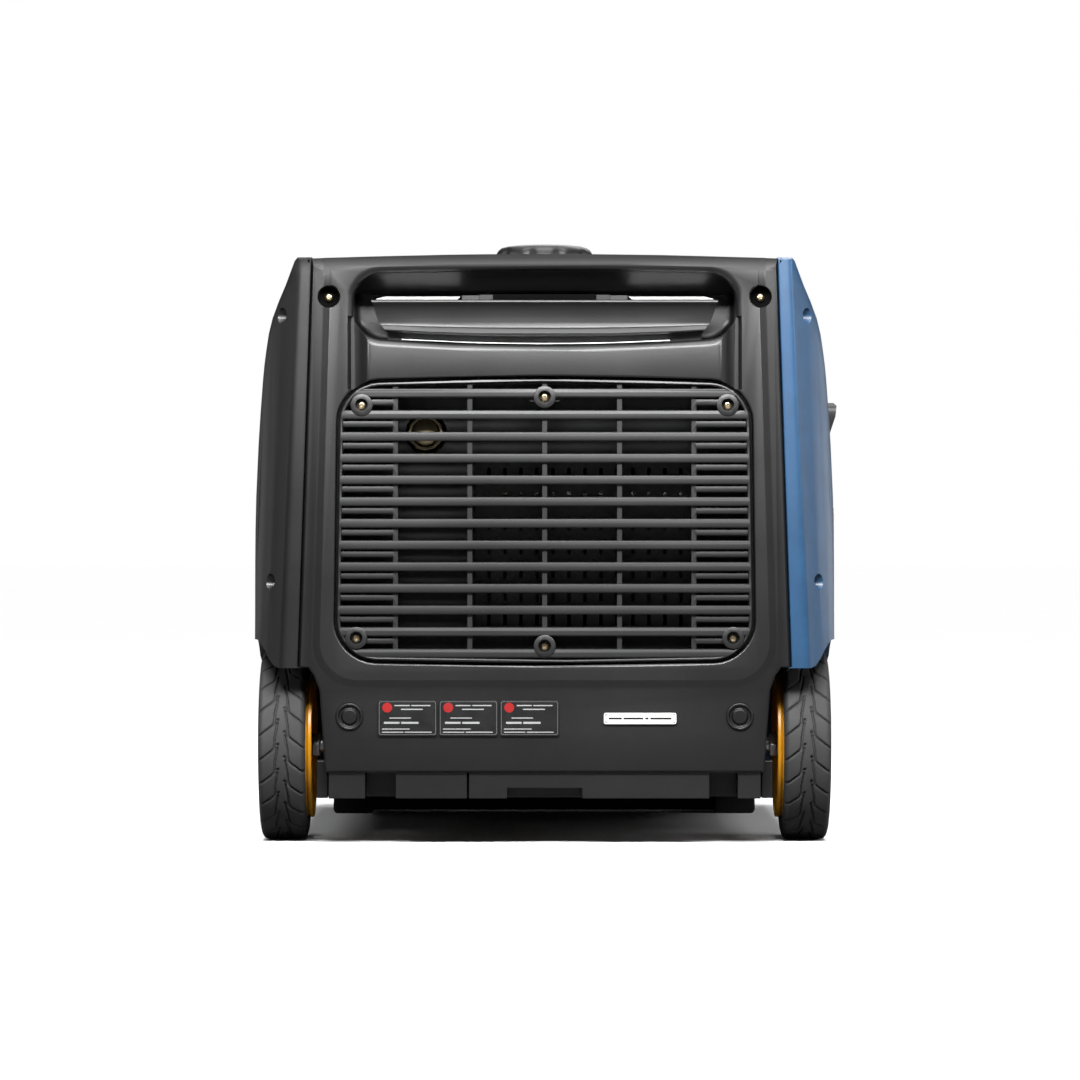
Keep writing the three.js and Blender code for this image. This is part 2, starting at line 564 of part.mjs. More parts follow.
const CAP_TOP_Z = 491.3;
const capGroup = new THREE.Group();
generator.add(capGroup);
const cap = turnedZ([
  [0, 480], [NECK_RADIUS + 2, 480], [NECK_RADIUS + 2, 470], [CAP_RADIUS, 470], [42.3, 484.4],
  [36.3, 489.4], [20, 490.9], [0, CAP_TOP_Z],
]).subtract(drumZ(13, CAP_TOP_Z - 4.3, 500));
piece('fuel_cap', cap, DARK, [0, 0, 0], [0, 0, 0], capGroup);
const ventLever = drumZ(12.5, CAP_TOP_Z - 4, CAP_TOP_Z - 2.2, 0, 0, 16)
  .add(block(-11, 11, -2.5, 2.5, CAP_TOP_Z - 3, CAP_TOP_Z - 0.4));
piece('fuel_cap_vent_lever', ventLever, DARK, [0, 0, 0], [0, 0, 0], capGroup);

// ---- Control panel ---------------------------------------------------------------------------
const PLATE_X = 217;          // back of the plate
const PLATE_FRONT = 221;
const OUTLETS = { small: [-86, 250], large: [98, 250] };
const BUTTONS = {
  start_button: [-92, 345, 11], breaker_button_ac: [62, 300, 7], breaker_button_dc: [84, 300, 7],
};
const ROCKER = [-58, 345];

function controlPanel() {
  const frame = alongX(roundedRect(CY0 + 0.6, CY1 - 0.6, CZ0 + 0.6, CZ1 - 0.6, CC), PLATE_X, 224)
    .subtract(alongX(roundedRect(CY0 + 6, CY1 - 6, CZ0 + 6, CZ1 - 6, CC - 5), PLATE_FRONT, 230));
  const guideBush = drumX(9, PLATE_X - 8, PLATE_FRONT + 3, 0, GRIP_Z);
  let panel = frame.add(guideBush).subtract(drumX(3.6, 200, 240, 0, GRIP_Z, 10));
  panel = panel.subtract(drumX(7.5, 200, 240, 0, DIAL_Z));
  for (const [y, z] of Object.values(OUTLETS)) panel = panel.subtract(drumX(20, 200, 240, y, z, 16));
  for (const [y, z, radius] of Object.values(BUTTONS)) {
    panel = panel.subtract(drumX(radius + 0.4, 200, 240, y, z));
  }
  const [ry, rz] = ROCKER;
  return panel.subtract(block(200, 240, ry - 8.5, ry + 8.5, rz - 12.5, rz + 12.5));
}
piece('control_panel', controlPanel(), DARK);

// Outlets sit in round holes, with a sprung cover hinged along the top.
for (const [size, [y, z]] of Object.entries(OUTLETS)) {
  let outlet = drumX(19.6, -32, 5, 0, 0, 16).add(drumX(23, PLATE_FRONT - PLATE_X + GAP, 6, 0, 0, 16));
  const slots = size === 'small' ? [[-6.5, 3], [6.5, 3]] : [[-9, 2], [9, 2], [0, 11]];
  for (const [sy, sz] of slots) outlet = outlet.subtract(block(-4, 7, sy - 1.2, sy + 1.2, sz - 4, sz + 4));
  outlet = outlet.subtract(drumX(2.6, -4, 7, 0, -8, 8));
  piece(`outlet_${size}`, outlet, DARK, [PLATE_X, y, z]);
  const flap = alongX(roundedRect(-27, 27, -52, 0, 8), 0, 3);
  piece(`outlet_cover_${size}`, flap, RUBBER, [PLATE_FRONT + 3, y, z + 26]);
}

for (const [name, [y, z, radius]] of Object.entries(BUTTONS)) {
  const button = drumX(radius, -6, 6).add(drumX(radius + 2.5, -8, -5.5));
  piece(name, button, name === 'start_button' ? ORANGE : DARK, [PLATE_X + 1, y, z]);
}

const rockerSection = outline([[-5, -11.5], [2.4, -11.5], [1, 0], [4.4, 11.5], [-5, 11.5]]);
const rockerBody = alongY(rockerSection, -7.8, 7.8).intersect(drumY(12.3, -8, 8, -1, 0, 20));
piece('eco_rocker', rockerBody, BLACK, [PLATE_FRONT, ...ROCKER]);

// Engine dial: a skirted knob with a wedge-shaped finger bar, on a spindle through the plate.
const dialX = PLATE_FRONT + GAP;
const dialReach = CONTROL_REACH - dialX;
const dialKnob = turnedX([[0, -16], [6.8, -16], [6.8, 0], [24, 0], [24, 4], [21, 8], [0, 8]], 16)
  .add(alongY(outline([[6, -9], [dialReach - 4.5, -3.4], [dialReach, -0.7], [dialReach, 0.7],
    [dialReach - 4.5, 3.4], [6, 9]]), -21, 21));
piece('engine_dial', dialKnob, ORANGE, [dialX, 0, DIAL_Z]);

// ---- Recoil starter --------------------------------------------------------------------------
const gripSection = outline([
  [225, 356.5], [243.5, 356.5], [CONTROL_REACH, 354], [245, 345],
  [237, 321], [231, 317.6], [226, 318.5], [224.4, 326],
]);
const grip = alongY(gripSection, -44, 44).intersect(alongX(roundedRect(-44, 44, 316, 358, 9), 220, 250))
  .subtract(drumX(3.2, 220, 235, 0, GRIP_Z, 8));
piece('recoil_grip', grip, BLACK);
piece('starter_rope_lead', drumX(2.6, 96, 234.5, 0, GRIP_Z, 8), ROPE);

const starter = new THREE.Group();
starter.position.set(0, CRANK_Y, CRANK_Z);
generator.add(starter);
const starterHousing = turnedX([
  [0, 128], [9, 128], [9, 150], [84, 150], [86, 105], [89, 105], [89, 154], [60, 158], [0, 160],
]).subtract(block(110, 145, -20, 20, 80, 95));
piece('recoil_housing', starterHousing, BLACK, [0, 0, 0], [0, 0, 0], starter);
const pulley = turnedX(closed([
  [9.4, 130], [44, 130], [44, 132], [37, 133], [37, 139], [44, 140], [44, 142], [9.4, 142],
]), 16);
piece('recoil_pulley', pulley, DARK, [0, 0, 0], [0, 0, 0], starter);
const coil = turnedX(closed([[37.4, 133.5], [43, 133.5], [43, 138.5], [37.4, 138.5]]), 16);
piece('starter_rope_coil', coil, ROPE, [0, 0, 0], [0, 0, 0], starter);

// ---- Engine ----------------------------------------------------------------------------------
const engine = new THREE.Group();
engine.position.set(0, CRANK_Y, CRANK_Z);
generator.add(engine);
const CRANK_RADIUS = 11;
const caseSection = outline([
  [-55, -70], [-45, -85], [55, -85], [65, -70], [65, 35], [50, 55], [0, 66], [-40, 60], [-58, 30],
]);
// The cylinder leans towards the exhaust end; this is its own frame, along -Y before it is tilted.
const tilted = (shape) => shape.rotate([-THREE.MathUtils.radToDeg(CYLINDER_TILT), 0, 0]);
const CASE_MOUTH = 66;        // distance from the crankshaft to the cylinder's foot
const crankcase = alongX(caseSection, -70, 55)
  .subtract(tilted(block(-60, 60, -200, -CASE_MOUTH + GAP + 6, -60, 60)))
  .subtract(drumX(CRANK_RADIUS + 0.6, -90, 90));
piece('engine_crankcase', crankcase, ALUMINIUM, [0, 0, 0], [0, 0, 0], engine);

let barrel = block(-34, 34, -132, -CASE_MOUTH + 5, -34, 34);
for (let i = 0; i < 6; i++) {
  const y = -74 - i * 10;
  barrel = barrel.add(block(-48, 48, y - 3.5, y, -46, 46));
}
piece('engine_cylinder', barrel.subtract(drumY(26, -140, 0, 0, 0, 16)), ALUMINIUM,
  [0, 0, 0], [-CYLINDER_TILT, 0, 0], engine);
let head = block(-42, 42, -172, -132 - GAP, -42, 42);
for (let i = 0; i < 4; i++) {
  const x = -45 + i * 28;
  head = head.add(block(x, x + 4, -176, -134, -48, 48));
}
head = head.subtract(drumZ(8.3, 20, 60, 0, -152, 12));
piece('cylinder_head', head, ALUMINIUM, [0, 0, 0], [-CYLINDER_TILT, 0, 0], engine);
const sparkPlug = turnedZ([[0, 22], [8, 22], [8, 52], [11, 52], [11, 60], [7, 62], [7, 82], [0, 84]], 12);
piece('spark_plug', sparkPlug, STEEL, [0, -152 * Math.cos(CYLINDER_TILT), 152 * Math.sin(CYLINDER_TILT)],
  [-CYLINDER_TILT, 0, 0], engine);

const crank = turnedX([[0, -82], [9, -82], [CRANK_RADIUS, -78], [CRANK_RADIUS, 122], [0, 122]], 16);
piece('crankshaft', crank, STEEL, [0, 0, 0], [0, 0, 0], engine);
const stator = turnedX(closed([[14, 55.3], [40, 55.3], [44, 62], [60, 62], [60, 90], [14, 90]]), 16);
piece('alternator_stator', stator, COPPER, [0, 0, 0], [0, 0, 0], engine);
const rotor = turnedX(closed([
  [CRANK_RADIUS + GAP, 94], [62, 94], [64, 60], [78, 60], [78, 100], [CRANK_RADIUS + GAP, 100],
]));
piece('flywheel_rotor', rotor, STEEL, [0, 0, 0], [0, 0, 0], engine);
let fan = turnedX(closed([
  [CRANK_RADIUS + GAP, 100 + GAP], [76, 100 + GAP], [76, 103], [CRANK_RADIUS + GAP, 103],
]), 16);
for (let i = 0; i < 8; i++) {
  const blade = block(102, 119, -1.5, 1.5, 34, 74).rotate([i * 45, 0, 0]);
  fan = fan.add(blade);
}
piece('cooling_fan', fan, DARK, [0, 0, 0], [0, 0, 0], engine);

for (const [name, y] of [['rear', -30], ['front', 52]]) {
  const mount = block(-60, 45, y - 14, y + 14, 61 + GAP, CRANK_Z - 85 - GAP);
  piece(`engine_mount_${name}`, mount, RUBBER);
}

// ---- Exhaust ---------------------------------------------------------------------------------
piece('muffler', alongX(roundedRect(-262, -194, 172, 300, 28), -50, 118, 5), HOT_STEEL);
const shield = block(-55, 123, -278, -266, 167, 305).subtract(block(-60, 130, -276.6, -260, 168.4, 303.6));
piece('muffler_heat_shield', shield, HOT_STEEL);
// the black wall round the muffler, which shuts the engine bay off behind the grille
const shroud = block(-172, 172, -264, -260, 134, 372)
  .subtract(block(-53, 121, -270, -250, 169, 303)).subtract(drumY(16.5, -270, -250, -94.5, 326, 16));
piece('exhaust_shroud', shroud, BLACK);
const pipeRoute = new THREE.CatmullRomCurve3([
  [-50 - GAP, -226, 270], [-72, -226, 271], [-92, -229, 284],
  [-94.5, -238, 310], [-94.5, -256, 325], [-94.5, -281, 326],
].map((point) => new THREE.Vector3(...point)));
const pipeSection = new THREE.Shape().absarc(0, 0, 11, 0, 2 * Math.PI);
const pipeSweep = { steps: 10, curveSegments: 5, extrudePath: pipeRoute };
const pipe = solid(new THREE.ExtrudeGeometry(pipeSection, pipeSweep))
  .add(drumY(14, -281.5, -262, -94.5, 326))
  .subtract(block(-51, -40, -250, -200, 240, 300));
piece('exhaust_outlet', pipe.subtract(drumY(11.5, -285, -270, -94.5, 326)), HOT_STEEL);

// ---- Intake and electrics --------------------------------------------------------------------
piece('air_filter_box', alongX(roundedRect(-186, -72, 208, 306, 12), -186, -106, 4), BLACK);
const carburettor = drumX(17, -105.5, -48.5, -128, 249, 14).subtract(drumX(11, -110, -80, -128, 249, 12))
  .add(block(-88, -62, -145, -111, 226, 246));
piece('carburettor', carburettor, ALUMINIUM);

const fins = [];
const FIN_PITCH = 16;
for (let x = -112; x <= 112 - FIN_PITCH / 2; x += FIN_PITCH) {
  fins.push([x, 236], [x + 4, 236], [x + 4, 214], [x + FIN_PITCH, 214]);
}
const inverterSection = outline([[-116, 172], [116, 172], [116, 214], ...fins.reverse(), [-116, 214]]);
const inverter = alongZ(inverterSection, 72, 205);
piece('inverter_module', inverter, ALUMINIUM);
const battery = alongZ(roundedRect(-164, -92, 52, 148, 4), 61 + GAP, 152, 2)
  .add(drumZ(5, 150, 160, -150, 66, 8)).add(drumZ(5, 150, 160, -106, 66, 8));
piece('battery', battery, DARK);

// The controls stand out on one side only, so the housing is set over by half of that: the origin
// is then under the middle of the whole object.
generator.position.x = -(CONTROL_REACH - HALF_WIDTH) / 2;

export default generator;
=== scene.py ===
"""Looks for a portable inverter generator: moulded shells, grille, wheels, controls and engine.

Lengths in the helpers are millimetres in the housing's own frame (its middle is X = 0, the
exhaust end faces -Y, the floor is Z = 0). as_frame() turns them into the row frame's metres.
"""
import json
import math

import bmesh
import bpy
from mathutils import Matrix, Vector


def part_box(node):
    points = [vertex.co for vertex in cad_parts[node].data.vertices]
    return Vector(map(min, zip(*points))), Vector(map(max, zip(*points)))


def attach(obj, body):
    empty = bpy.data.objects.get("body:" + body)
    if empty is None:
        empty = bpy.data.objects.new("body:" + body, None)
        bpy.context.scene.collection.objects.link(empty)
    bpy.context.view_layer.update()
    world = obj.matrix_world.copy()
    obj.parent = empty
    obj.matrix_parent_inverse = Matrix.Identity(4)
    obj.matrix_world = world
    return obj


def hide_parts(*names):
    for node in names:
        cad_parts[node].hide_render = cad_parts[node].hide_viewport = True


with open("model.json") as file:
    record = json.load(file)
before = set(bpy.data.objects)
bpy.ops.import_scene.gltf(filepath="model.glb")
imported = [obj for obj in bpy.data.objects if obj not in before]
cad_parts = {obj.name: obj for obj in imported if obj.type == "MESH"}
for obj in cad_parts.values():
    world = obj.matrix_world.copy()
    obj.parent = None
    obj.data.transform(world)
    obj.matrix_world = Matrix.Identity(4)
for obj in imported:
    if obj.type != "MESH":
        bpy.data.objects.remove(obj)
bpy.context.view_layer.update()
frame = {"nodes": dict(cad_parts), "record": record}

MM = 0.001
nodes = frame["nodes"]
cover_low, cover_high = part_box("top_cover")
HOUSING_X = (cover_low.x + cover_high.x) / 2
SIDES = ((-1, "left"), (1, "right"))


def as_frame(point):
    return Vector((point[0] * MM + HOUSING_X, point[1] * MM, point[2] * MM))


def added(obj):
    bpy.context.scene.collection.objects.link(obj)
    return obj


# ---- Camera: level, square on to the exhaust end, long lens ----------------------------------
camera_data = bpy.data.cameras.new("camera")
camera_data.lens = 164.6
camera_data.sensor_width = 36.0
camera_data.clip_end = 100.0
camera = added(bpy.data.objects.new("camera", camera_data))
camera.location = as_frame((-3.7, -4200.0, 241.0))
camera.rotation_euler = (math.radians(90), 0, 0)
bpy.context.scene.camera = camera


# ---- Materials -------------------------------------------------------------------------------
FINISH = {}      # each finish by name; a piece wears the one named like its slot unless told otherwise


class Nodes:
    """A material's node tree, with short calls for what the finishes share."""

    def __init__(self, name):
        self.material = bpy.data.materials.new(name)
        FINISH[name] = self.material
        self.material.use_nodes = True
        self.tree = self.material.node_tree
        self.shader = self.tree.nodes["Principled BSDF"]
        self.coords = self.add("TexCoord").outputs["Object"]

    def add(self, kind, **values):
        node = self.tree.nodes.new("ShaderNode" + kind)
        self.set(node, **values)
        return node

    def set(self, node=None, **values):
        for name, value in values.items():
            (node or self.shader).inputs[name.replace("_", " ")].default_value = value

    def link(self, source, target):
        """target is a socket, or the name of one of the shader's."""
        self.tree.links.new(source, self.shader.inputs[target] if isinstance(target, str) else target)

    def noise(self, scale, detail=3.0, roughness=0.5, stretch=None):
        texture = self.add("TexNoise", Scale=scale, Detail=detail, Roughness=roughness)
        source = self.coords
        if stretch:
            mapping = self.add("Mapping", Scale=stretch)
            self.link(source, mapping.inputs["Vector"])
            source = mapping.outputs["Vector"]
        self.link(source, texture.inputs["Vector"])
        return texture.outputs["Fac"]

    def cells(self, scale):
        texture = self.add("TexVoronoi", Scale=scale)
        self.link(self.coords, texture.inputs["Vector"])
        return texture.outputs["Distance"]

    def height(self, low, high):
        """0 below the height low, 1 above high, in metres."""
        split = self.add("SeparateXYZ")
        self.link(self.coords, split.inputs[0])
        rise = self.add("MapRange", From_Min=low, From_Max=high)
        self.link(split.outputs["Z"], rise.inputs["Value"])
        return rise.outputs["Result"]

    def ramp(self, source, low, high, start=0.3, end=0.7):
        ramp = self.add("ValToRGB")
        for stop, position, value in zip(ramp.color_ramp.elements, (start, end), (low, high)):
            stop.position = position
            stop.color = (*value, 1) if isinstance(value, tuple) else (value, value, value, 1)
        self.link(source, ramp.inputs["Fac"])
        return ramp.outputs["Color"]

    def blend(self, factor, first, second):
        mix = self.add("Mix")
        mix.data_type = "RGBA"
        self.link(factor, mix.inputs["Factor"])
        for value, socket in ((first, mix.inputs["A"]), (second, mix.inputs["B"])):
            if isinstance(value, tuple):
                socket.default_value = (*value, 1)
            else:
                self.link(value, socket)
        return mix.outputs["Result"]

    def bump(self, height, strength, distance, below=None):
        bump = self.add("Bump", Strength=strength, Distance=distance)
        self.link(height, bump.inputs["Height"])
        if below:
            self.link(below, bump.inputs["Normal"])
        self.link(bump.outputs["Normal"], "Normal")
        return bump.outputs["Normal"]


def tinted(color, factor):
    return tuple(min(1.0, c * factor) for c in color)


def moulded_plastic(name, color, rough=(0.42, 0.55), grain=0.25, specular=0.5, dust=0.12, satin=None):
    """Moulded plastic: fine spark-eroded grain, slow change of gloss, a little dust.

    satin is (low, high) in metres: the skin turns duller between those heights.
    """
    n = Nodes(name)
    n.set(Specular_IOR_Level=specular)
    base = n.ramp(n.noise(55, 5, 0.6), tinted(color, 0.88), tinted(color, 1.12))
    dusty = n.ramp(n.noise(120, 6, 0.7), 0.0, dust, 0.55, 0.8)
    n.link(n.blend(dusty, base, tuple(c * 0.8 + 0.06 for c in color)), "Base Color")
    gloss = n.ramp(n.noise(9, 4), *rough)
    if satin:
        height = n.height(*satin)
        gloss = n.blend(height, gloss, (0.74, 0.74, 0.74))
        n.link(n.ramp(height, specular, specular * 0.35, 0.0, 1.0), "Specular IOR Level")
    n.link(gloss, "Roughness")
    low = n.bump(n.cells(1500), grain, 0.0002)
    n.bump(n.noise(700, 2), grain * 0.6, 0.0003, below=low)
    return n.material


def rubber(name, color, grain=0.35):
    n = Nodes(name)
    n.set(Specular_IOR_Level=0.35)
    dusty = n.ramp(n.noise(60, 6, 0.7), 0.0, 0.3, 0.45, 0.8)
    n.link(n.blend(dusty, color, tuple(c * 0.7 + 0.03 for c in color)), "Base Color")
    n.link(n.ramp(n.noise(25, 4), 0.62, 0.8), "Roughness")
    low = n.bump(n.noise(900, 3, 0.6), grain, 0.0003)
    n.bump(n.noise(160, 4, 0.6), grain * 0.5, 0.0006, below=low)
    return n.material


def metal(name, color, rough=(0.25, 0.4), brush=None, stain=None, cast=0.0):
    """Bare or plated metal, with optional brushing, heat stain or a cast skin."""
    n = Nodes(name)
    n.set(Metallic=1.0)
    tone = n.ramp(n.noise(30, 5, 0.6), tinted(color, 0.8), tinted(color, 1.1))
    if stain:
        tone = n.blend(n.ramp(n.noise(14, 5, 0.65), 0.0, 1.0, 0.4, 0.65), tone, stain)
    n.link(tone, "Base Color")
    n.link(n.ramp(n.noise(70, 4), *rough), "Roughness")
    if brush:
        n.bump(n.noise(500, 2, 0.6, stretch=brush), 0.2, 0.0002)
    else:
        n.bump(n.noise(420, 4, 0.65), 0.15 + cast, 0.0004)
    return n.material


def gloss_plastic(name, color, rough=(0.28, 0.4)):
    n = Nodes(name)
    n.set(Specular_IOR_Level=0.5)
    n.link(n.ramp(n.noise(35, 4, 0.6), tinted(color, 0.9), tinted(color, 1.08)), "Base Color")
    n.link(n.ramp(n.noise(80, 4), *rough), "Roughness")
    n.bump(n.noise(600, 2), 0.1, 0.0003)
    return n.material


def rope_material(name, color):
    n = Nodes(name)
    weave = n.add("TexWave", Scale=320, Distortion=2)
    n.link(n.coords, weave.inputs["Vector"])
    n.link(n.ramp(weave.outputs["Fac"], tinted(color, 0.7), tinted(color, 1.4)), "Base Color")
    n.set(Roughness=0.85)
    n.bump(weave.outputs["Fac"], 0.6, 0.0005)
    return n.material


INK_BLACK = (0.0045, 0.0045, 0.0047)
BLACK = moulded_plastic("housing_black", INK_BLACK, (0.36, 0.43), 0.16, 0.6, 0.015, satin=(0.452, 0.464))
TRIM = moulded_plastic("trim_black", INK_BLACK, (0.36, 0.46), 0.12, 0.45, 0.015)
moulded_plastic("panel_blue", (0.012, 0.052, 0.118), (0.36, 0.44), 0.14, 0.6, 0.015)
ORANGE = gloss_plastic("accent_orange", (0.62, 0.27, 0.008))
rubber("tyre_rubber", (0.030, 0.030, 0.031))
# Painted shade: near-black and dull, worn by pieces that stand in for the dark inside slots and holes.
SHADE_BLACK = moulded_plastic("painted_shade_black", (0.002, 0.002, 0.002), (0.85, 0.95), 0.1, 0.05, 0.0)
rubber("soft_rubber", (0.018, 0.018, 0.019), grain=0.2)
metal("steel", (0.62, 0.63, 0.65), brush=(1, 12, 1))
metal("aluminium", (0.60, 0.61, 0.62), (0.4, 0.6), cast=0.35)
metal("hot_steel", (0.36, 0.33, 0.27), (0.4, 0.6), stain=(0.22, 0.16, 0.09))
OUTLET = metal("outlet_steel", (0.34, 0.29, 0.19), (0.4, 0.55), stain=(0.22, 0.18, 0.10))
metal("copper", (0.72, 0.34, 0.16), (0.3, 0.45))
metal("brass", (0.80, 0.66, 0.42), (0.22, 0.35))
moulded_plastic("tank_plastic", (0.035, 0.035, 0.038), (0.4, 0.5))
rope_material("rope_fibre", (0.05, 0.05, 0.055))
WHITE = gloss_plastic("label_white", (0.78, 0.78, 0.77), (0.4, 0.5))
RED = gloss_plastic("label_red", (0.26, 0.006, 0.006), (0.4, 0.5))
DISPLAY = gloss_plastic("display_glass", (0.006, 0.008, 0.010), (0.06, 0.12))
GREEN = gloss_plastic("lamp_green", (0.03, 0.35, 0.06), (0.15, 0.25))
node_slot = {s["node"]: s["material_slot"] for s in frame["record"]["subparts"]}
node_body = {n: b for b, members in frame["record"]["behaviour"]["bodies"].items() for n in members}


# ---- Outlines: lists of (a, b), counter-clockwise --------------------------------------------
def rounded(corners, radii, steps=6, sides=1):
    """A polygon with round corners; sides is how many pieces each straight edge is cut into."""
    count = len(corners)
    if not isinstance(radii, list):
        radii = [radii] * count
    arcs = []
    for i, corner in enumerate(corners):
        here = Vector(corner)
        before = (Vector(corners[i - 1]) - here).normalized()
        after = (Vector(corners[(i + 1) % count]) - here).normalized()
        half = before.angle(after) / 2
        reach = radii[i] / math.tan(half)
        centre = here + (before + after).normalized() * (radii[i] / math.sin(half))
        start, end = here + before * reach - centre, here + after * reach - centre
        angle = start.angle(end) or 1e-6
        arc = []
        for k in range(steps + 1):
            t = k / steps
            spoke = (start * math.sin((1 - t) * angle) + end * math.sin(t * angle)) / math.sin(angle)
            arc.append(centre + spoke)
        arcs.append(arc)
    points = []
    for i, arc in enumerate(arcs):
        following = arcs[(i + 1) % count][0]
        points += [tuple(p) for p in arc]
        points += [tuple(arc[-1].lerp(following, k / sides)) for k in range(1, sides)]
    return points


def rounded_rect(a0, a1, b0, b1, radius, steps=6, sides=1):
    return rounded([(a0, b0), (a1, b0), (a1, b1), (a0, b1)], radius, steps, sides)


def frame_shape(a0, a1, b0, b1, radius, steps=6, spread=1):
    """rounded_rect as a shape that grows; spread is how much the corners grow with it."""
    return lambda g: rounded_rect(a0 - g, a1 + g, b0 - g, b1 + g, radius + spread * g, steps)


def circle(a, b, radius, count=32):
    turns = [2 * math.pi * k / count for k in range(count)]
    return [(a + radius * math.cos(t), b + radius * math.sin(t)) for t in turns]


def bowed_quad(foot, head, low, high, radius, bow_low=0.0, bow_high=0.0):
    """A leaning four-sided outline whose lower and upper edges are slightly arched."""
    points = rounded([(-foot, low), (foot, low), (head, high), (-head, high)], radius, 8, 16)
    mid, half = (low + high) / 2, max(foot, head)
    warped = []
    for a, b in points:
        weight = min(1.0, abs(b - mid) / (abs(high - mid) - radius * 0.5)) ** 2
        bow = -bow_high if b > mid else bow_low
        warped.append((a, b + bow * weight * (a / half) ** 2))
    return warped


def mirrored(side, points):
    """The points as they are for side 1, or their mirror image for side -1."""
    return [(side * a, *rest) for a, *rest in points][::side]


def span(side, low, high):
    return sorted((side * low, side * high))


# ---- Meshes ----------------------------------------------------------------------------------
AXES = {
    "X": lambda a, b, d: (d, a, b),
    "Y": lambda a, b, d: (a, d, b),
    "Z": lambda a, b, d: (a, b, d),
}


def edit_mesh(obj, change):
    work = bmesh.new()
    work.from_mesh(obj.data)
    change(work)
    work.to_mesh(obj.data)
    work.free()
    return obj


def new_object(name, points, faces):
    mesh = bpy.data.meshes.new(name)
    mesh.from_pydata([as_frame(p) for p in points], [], faces)

    def close(work):
        bmesh.ops.remove_doubles(work, verts=work.verts, dist=1e-6)
        bmesh.ops.recalc_face_normals(work, faces=work.faces)

    return edit_mesh(added(bpy.data.objects.new(name, mesh)), close)


def loft(name, rings, closed=True, loop=False):
    """Joins rings of equally many points; loop joins the last ring to the first."""
    width = len(rings[0])
    points = [p for ring in rings for p in ring]
    faces = []
    for i in range(len(rings) if loop else len(rings) - 1):
        j = (i + 1) % len(rings)
        for k in range(width if closed else width - 1):
            m = (k + 1) % width
            faces.append((i * width + k, i * width + m, j * width + m, j * width + k))
    if closed and not loop:
        faces.append(tuple(range(width - 1, -1, -1)))
        faces.append(tuple((len(rings) - 1) * width + k for k in range(width)))
    return new_object(name, points, faces)


def stack(name, shape, levels, axis="Y", loop=False):
    """A solid through levels of (depth, grow): shape(grow) is the outline at that depth.

    With loop, the levels go round a channel's section and meet themselves.
    """
    place = AXES[axis]
    return loft(name, [[place(a, b, depth) for a, b in shape(grow)] for depth, grow in levels], loop=loop)


def prism(name, outline, low, high, axis="Y"):
    return stack(name, lambda grow: outline, [(low, 0), (high, 0)], axis)


def box(name, x0, x1, y0, y1, z0, z1):
    return prism(name, [(x0, y0), (x1, y0), (x1, y1), (x0, y1)], z0, z1, "Z")


def drum(name, radius, low, high, centre=(0, 0), axis="Y", count=32, edge=0.0):
    """A cylinder; edge rounds its ends."""
    levels = [(low, 0), (high, 0)]
    if edge:
        k = edge * 0.3
        levels = [(low, -edge), (low + k, -k), (low + edge, 0),
                  (high - edge, 0), (high - k, -k), (high, -edge)]
    return stack(name, lambda grow: circle(*centre, radius + grow, count), levels, axis)


def turned(name, profile, centre, axis="X", count=48, closed=False):
    """A turned piece about a line through centre; its profile is (radius, distance along axis)."""
    place = AXES[axis]
    index = {"X": (1, 2, 0), "Y": (0, 2, 1), "Z": (0, 1, 2)}[axis]
    a0, b0, d0 = (centre[i] for i in index)
    rings = []
    for radius, along in profile:
        rings.append([place(a, b, along + d0) for a, b in circle(a0, b0, max(radius, 1e-4), count)])
    return loft(name, rings, loop=closed)


def baked(obj):
    """Applies the modifiers."""
    graph = bpy.context.evaluated_depsgraph_get()
    mesh = bpy.data.meshes.new_from_object(obj.evaluated_get(graph), depsgraph=graph)
    obj.modifiers.clear()
    obj.data = mesh
    return obj


def combine(obj, others, operation):
    for other in others:
        step = obj.modifiers.new("step", "BOOLEAN")
        step.object, step.operation, step.solver = other, operation, "MANIFOLD"
    baked(obj)
    for other in others:
        bpy.data.objects.remove(other)
    return obj


def joined(obj, *others):
    return combine(obj, others, "UNION")


def cut(obj, *others):
    return combine(obj, others, "DIFFERENCE")


def common(obj, other):
    return combine(obj, [other], "INTERSECT")


def merged(name, objects):
    """Several solids as one piece, without a boolean."""
    work = bmesh.new()
    for obj in objects:
        work.from_mesh(obj.data)
        bpy.data.objects.remove(obj)
    mesh = bpy.data.meshes.new(name)
    work.to_mesh(mesh)
    work.free()
    return added(bpy.data.objects.new(name, mesh))


def tidy_mesh(work):
    bmesh.ops.remove_doubles(work, verts=work.verts, dist=2e-6)
    bmesh.ops.dissolve_limit(work, angle_limit=math.radians(1), verts=work.verts, edges=work.edges)


def shade(obj, angle):
    """Smooth across gentle edges, sharp across the others."""
    def mark(work):
        for face in work.faces:
            face.smooth = True
        for edge in work.edges:
            edge.smooth = len(edge.link_faces) == 2 and edge.calc_face_angle(0) < math.radians(angle)

    edit_mesh(obj, mark)


def show(obj, slot, material=None, replaces=None, bevel=0.5, segments=2, angle=32.0, clean=True,
         body="chassis"):
    """Gives a piece its finish, its rounded edges, its body and the CAD node it stands for."""
    if clean:
        edit_mesh(obj, tidy_mesh)
    shade(obj, angle)
    obj.data.materials.clear()
    obj.data.materials.append(material or FINISH[slot])
    if bevel:
        step = obj.modifiers.new("edges", "BEVEL")
        step.width, step.segments, step.limit_method = bevel * MM, segments, "ANGLE"
        step.angle_limit = math.radians(angle)
        step.harden_normals = True
        step.use_clamp_overlap = True
        step.miter_outer = "MITER_ARC"
    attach(obj, body)
    if replaces:
        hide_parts(replaces)
    return obj


def refined(node, bevel=0.6, angle=35.0, material=None):
    """A CAD piece with its facets blended and its edges rounded, standing for its node."""
    obj = added(bpy.data.objects.new(node + "_finished", nodes[node].data.copy()))
    show(obj, node_slot[node], material, node, bevel, angle=angle, body=node_body[node])


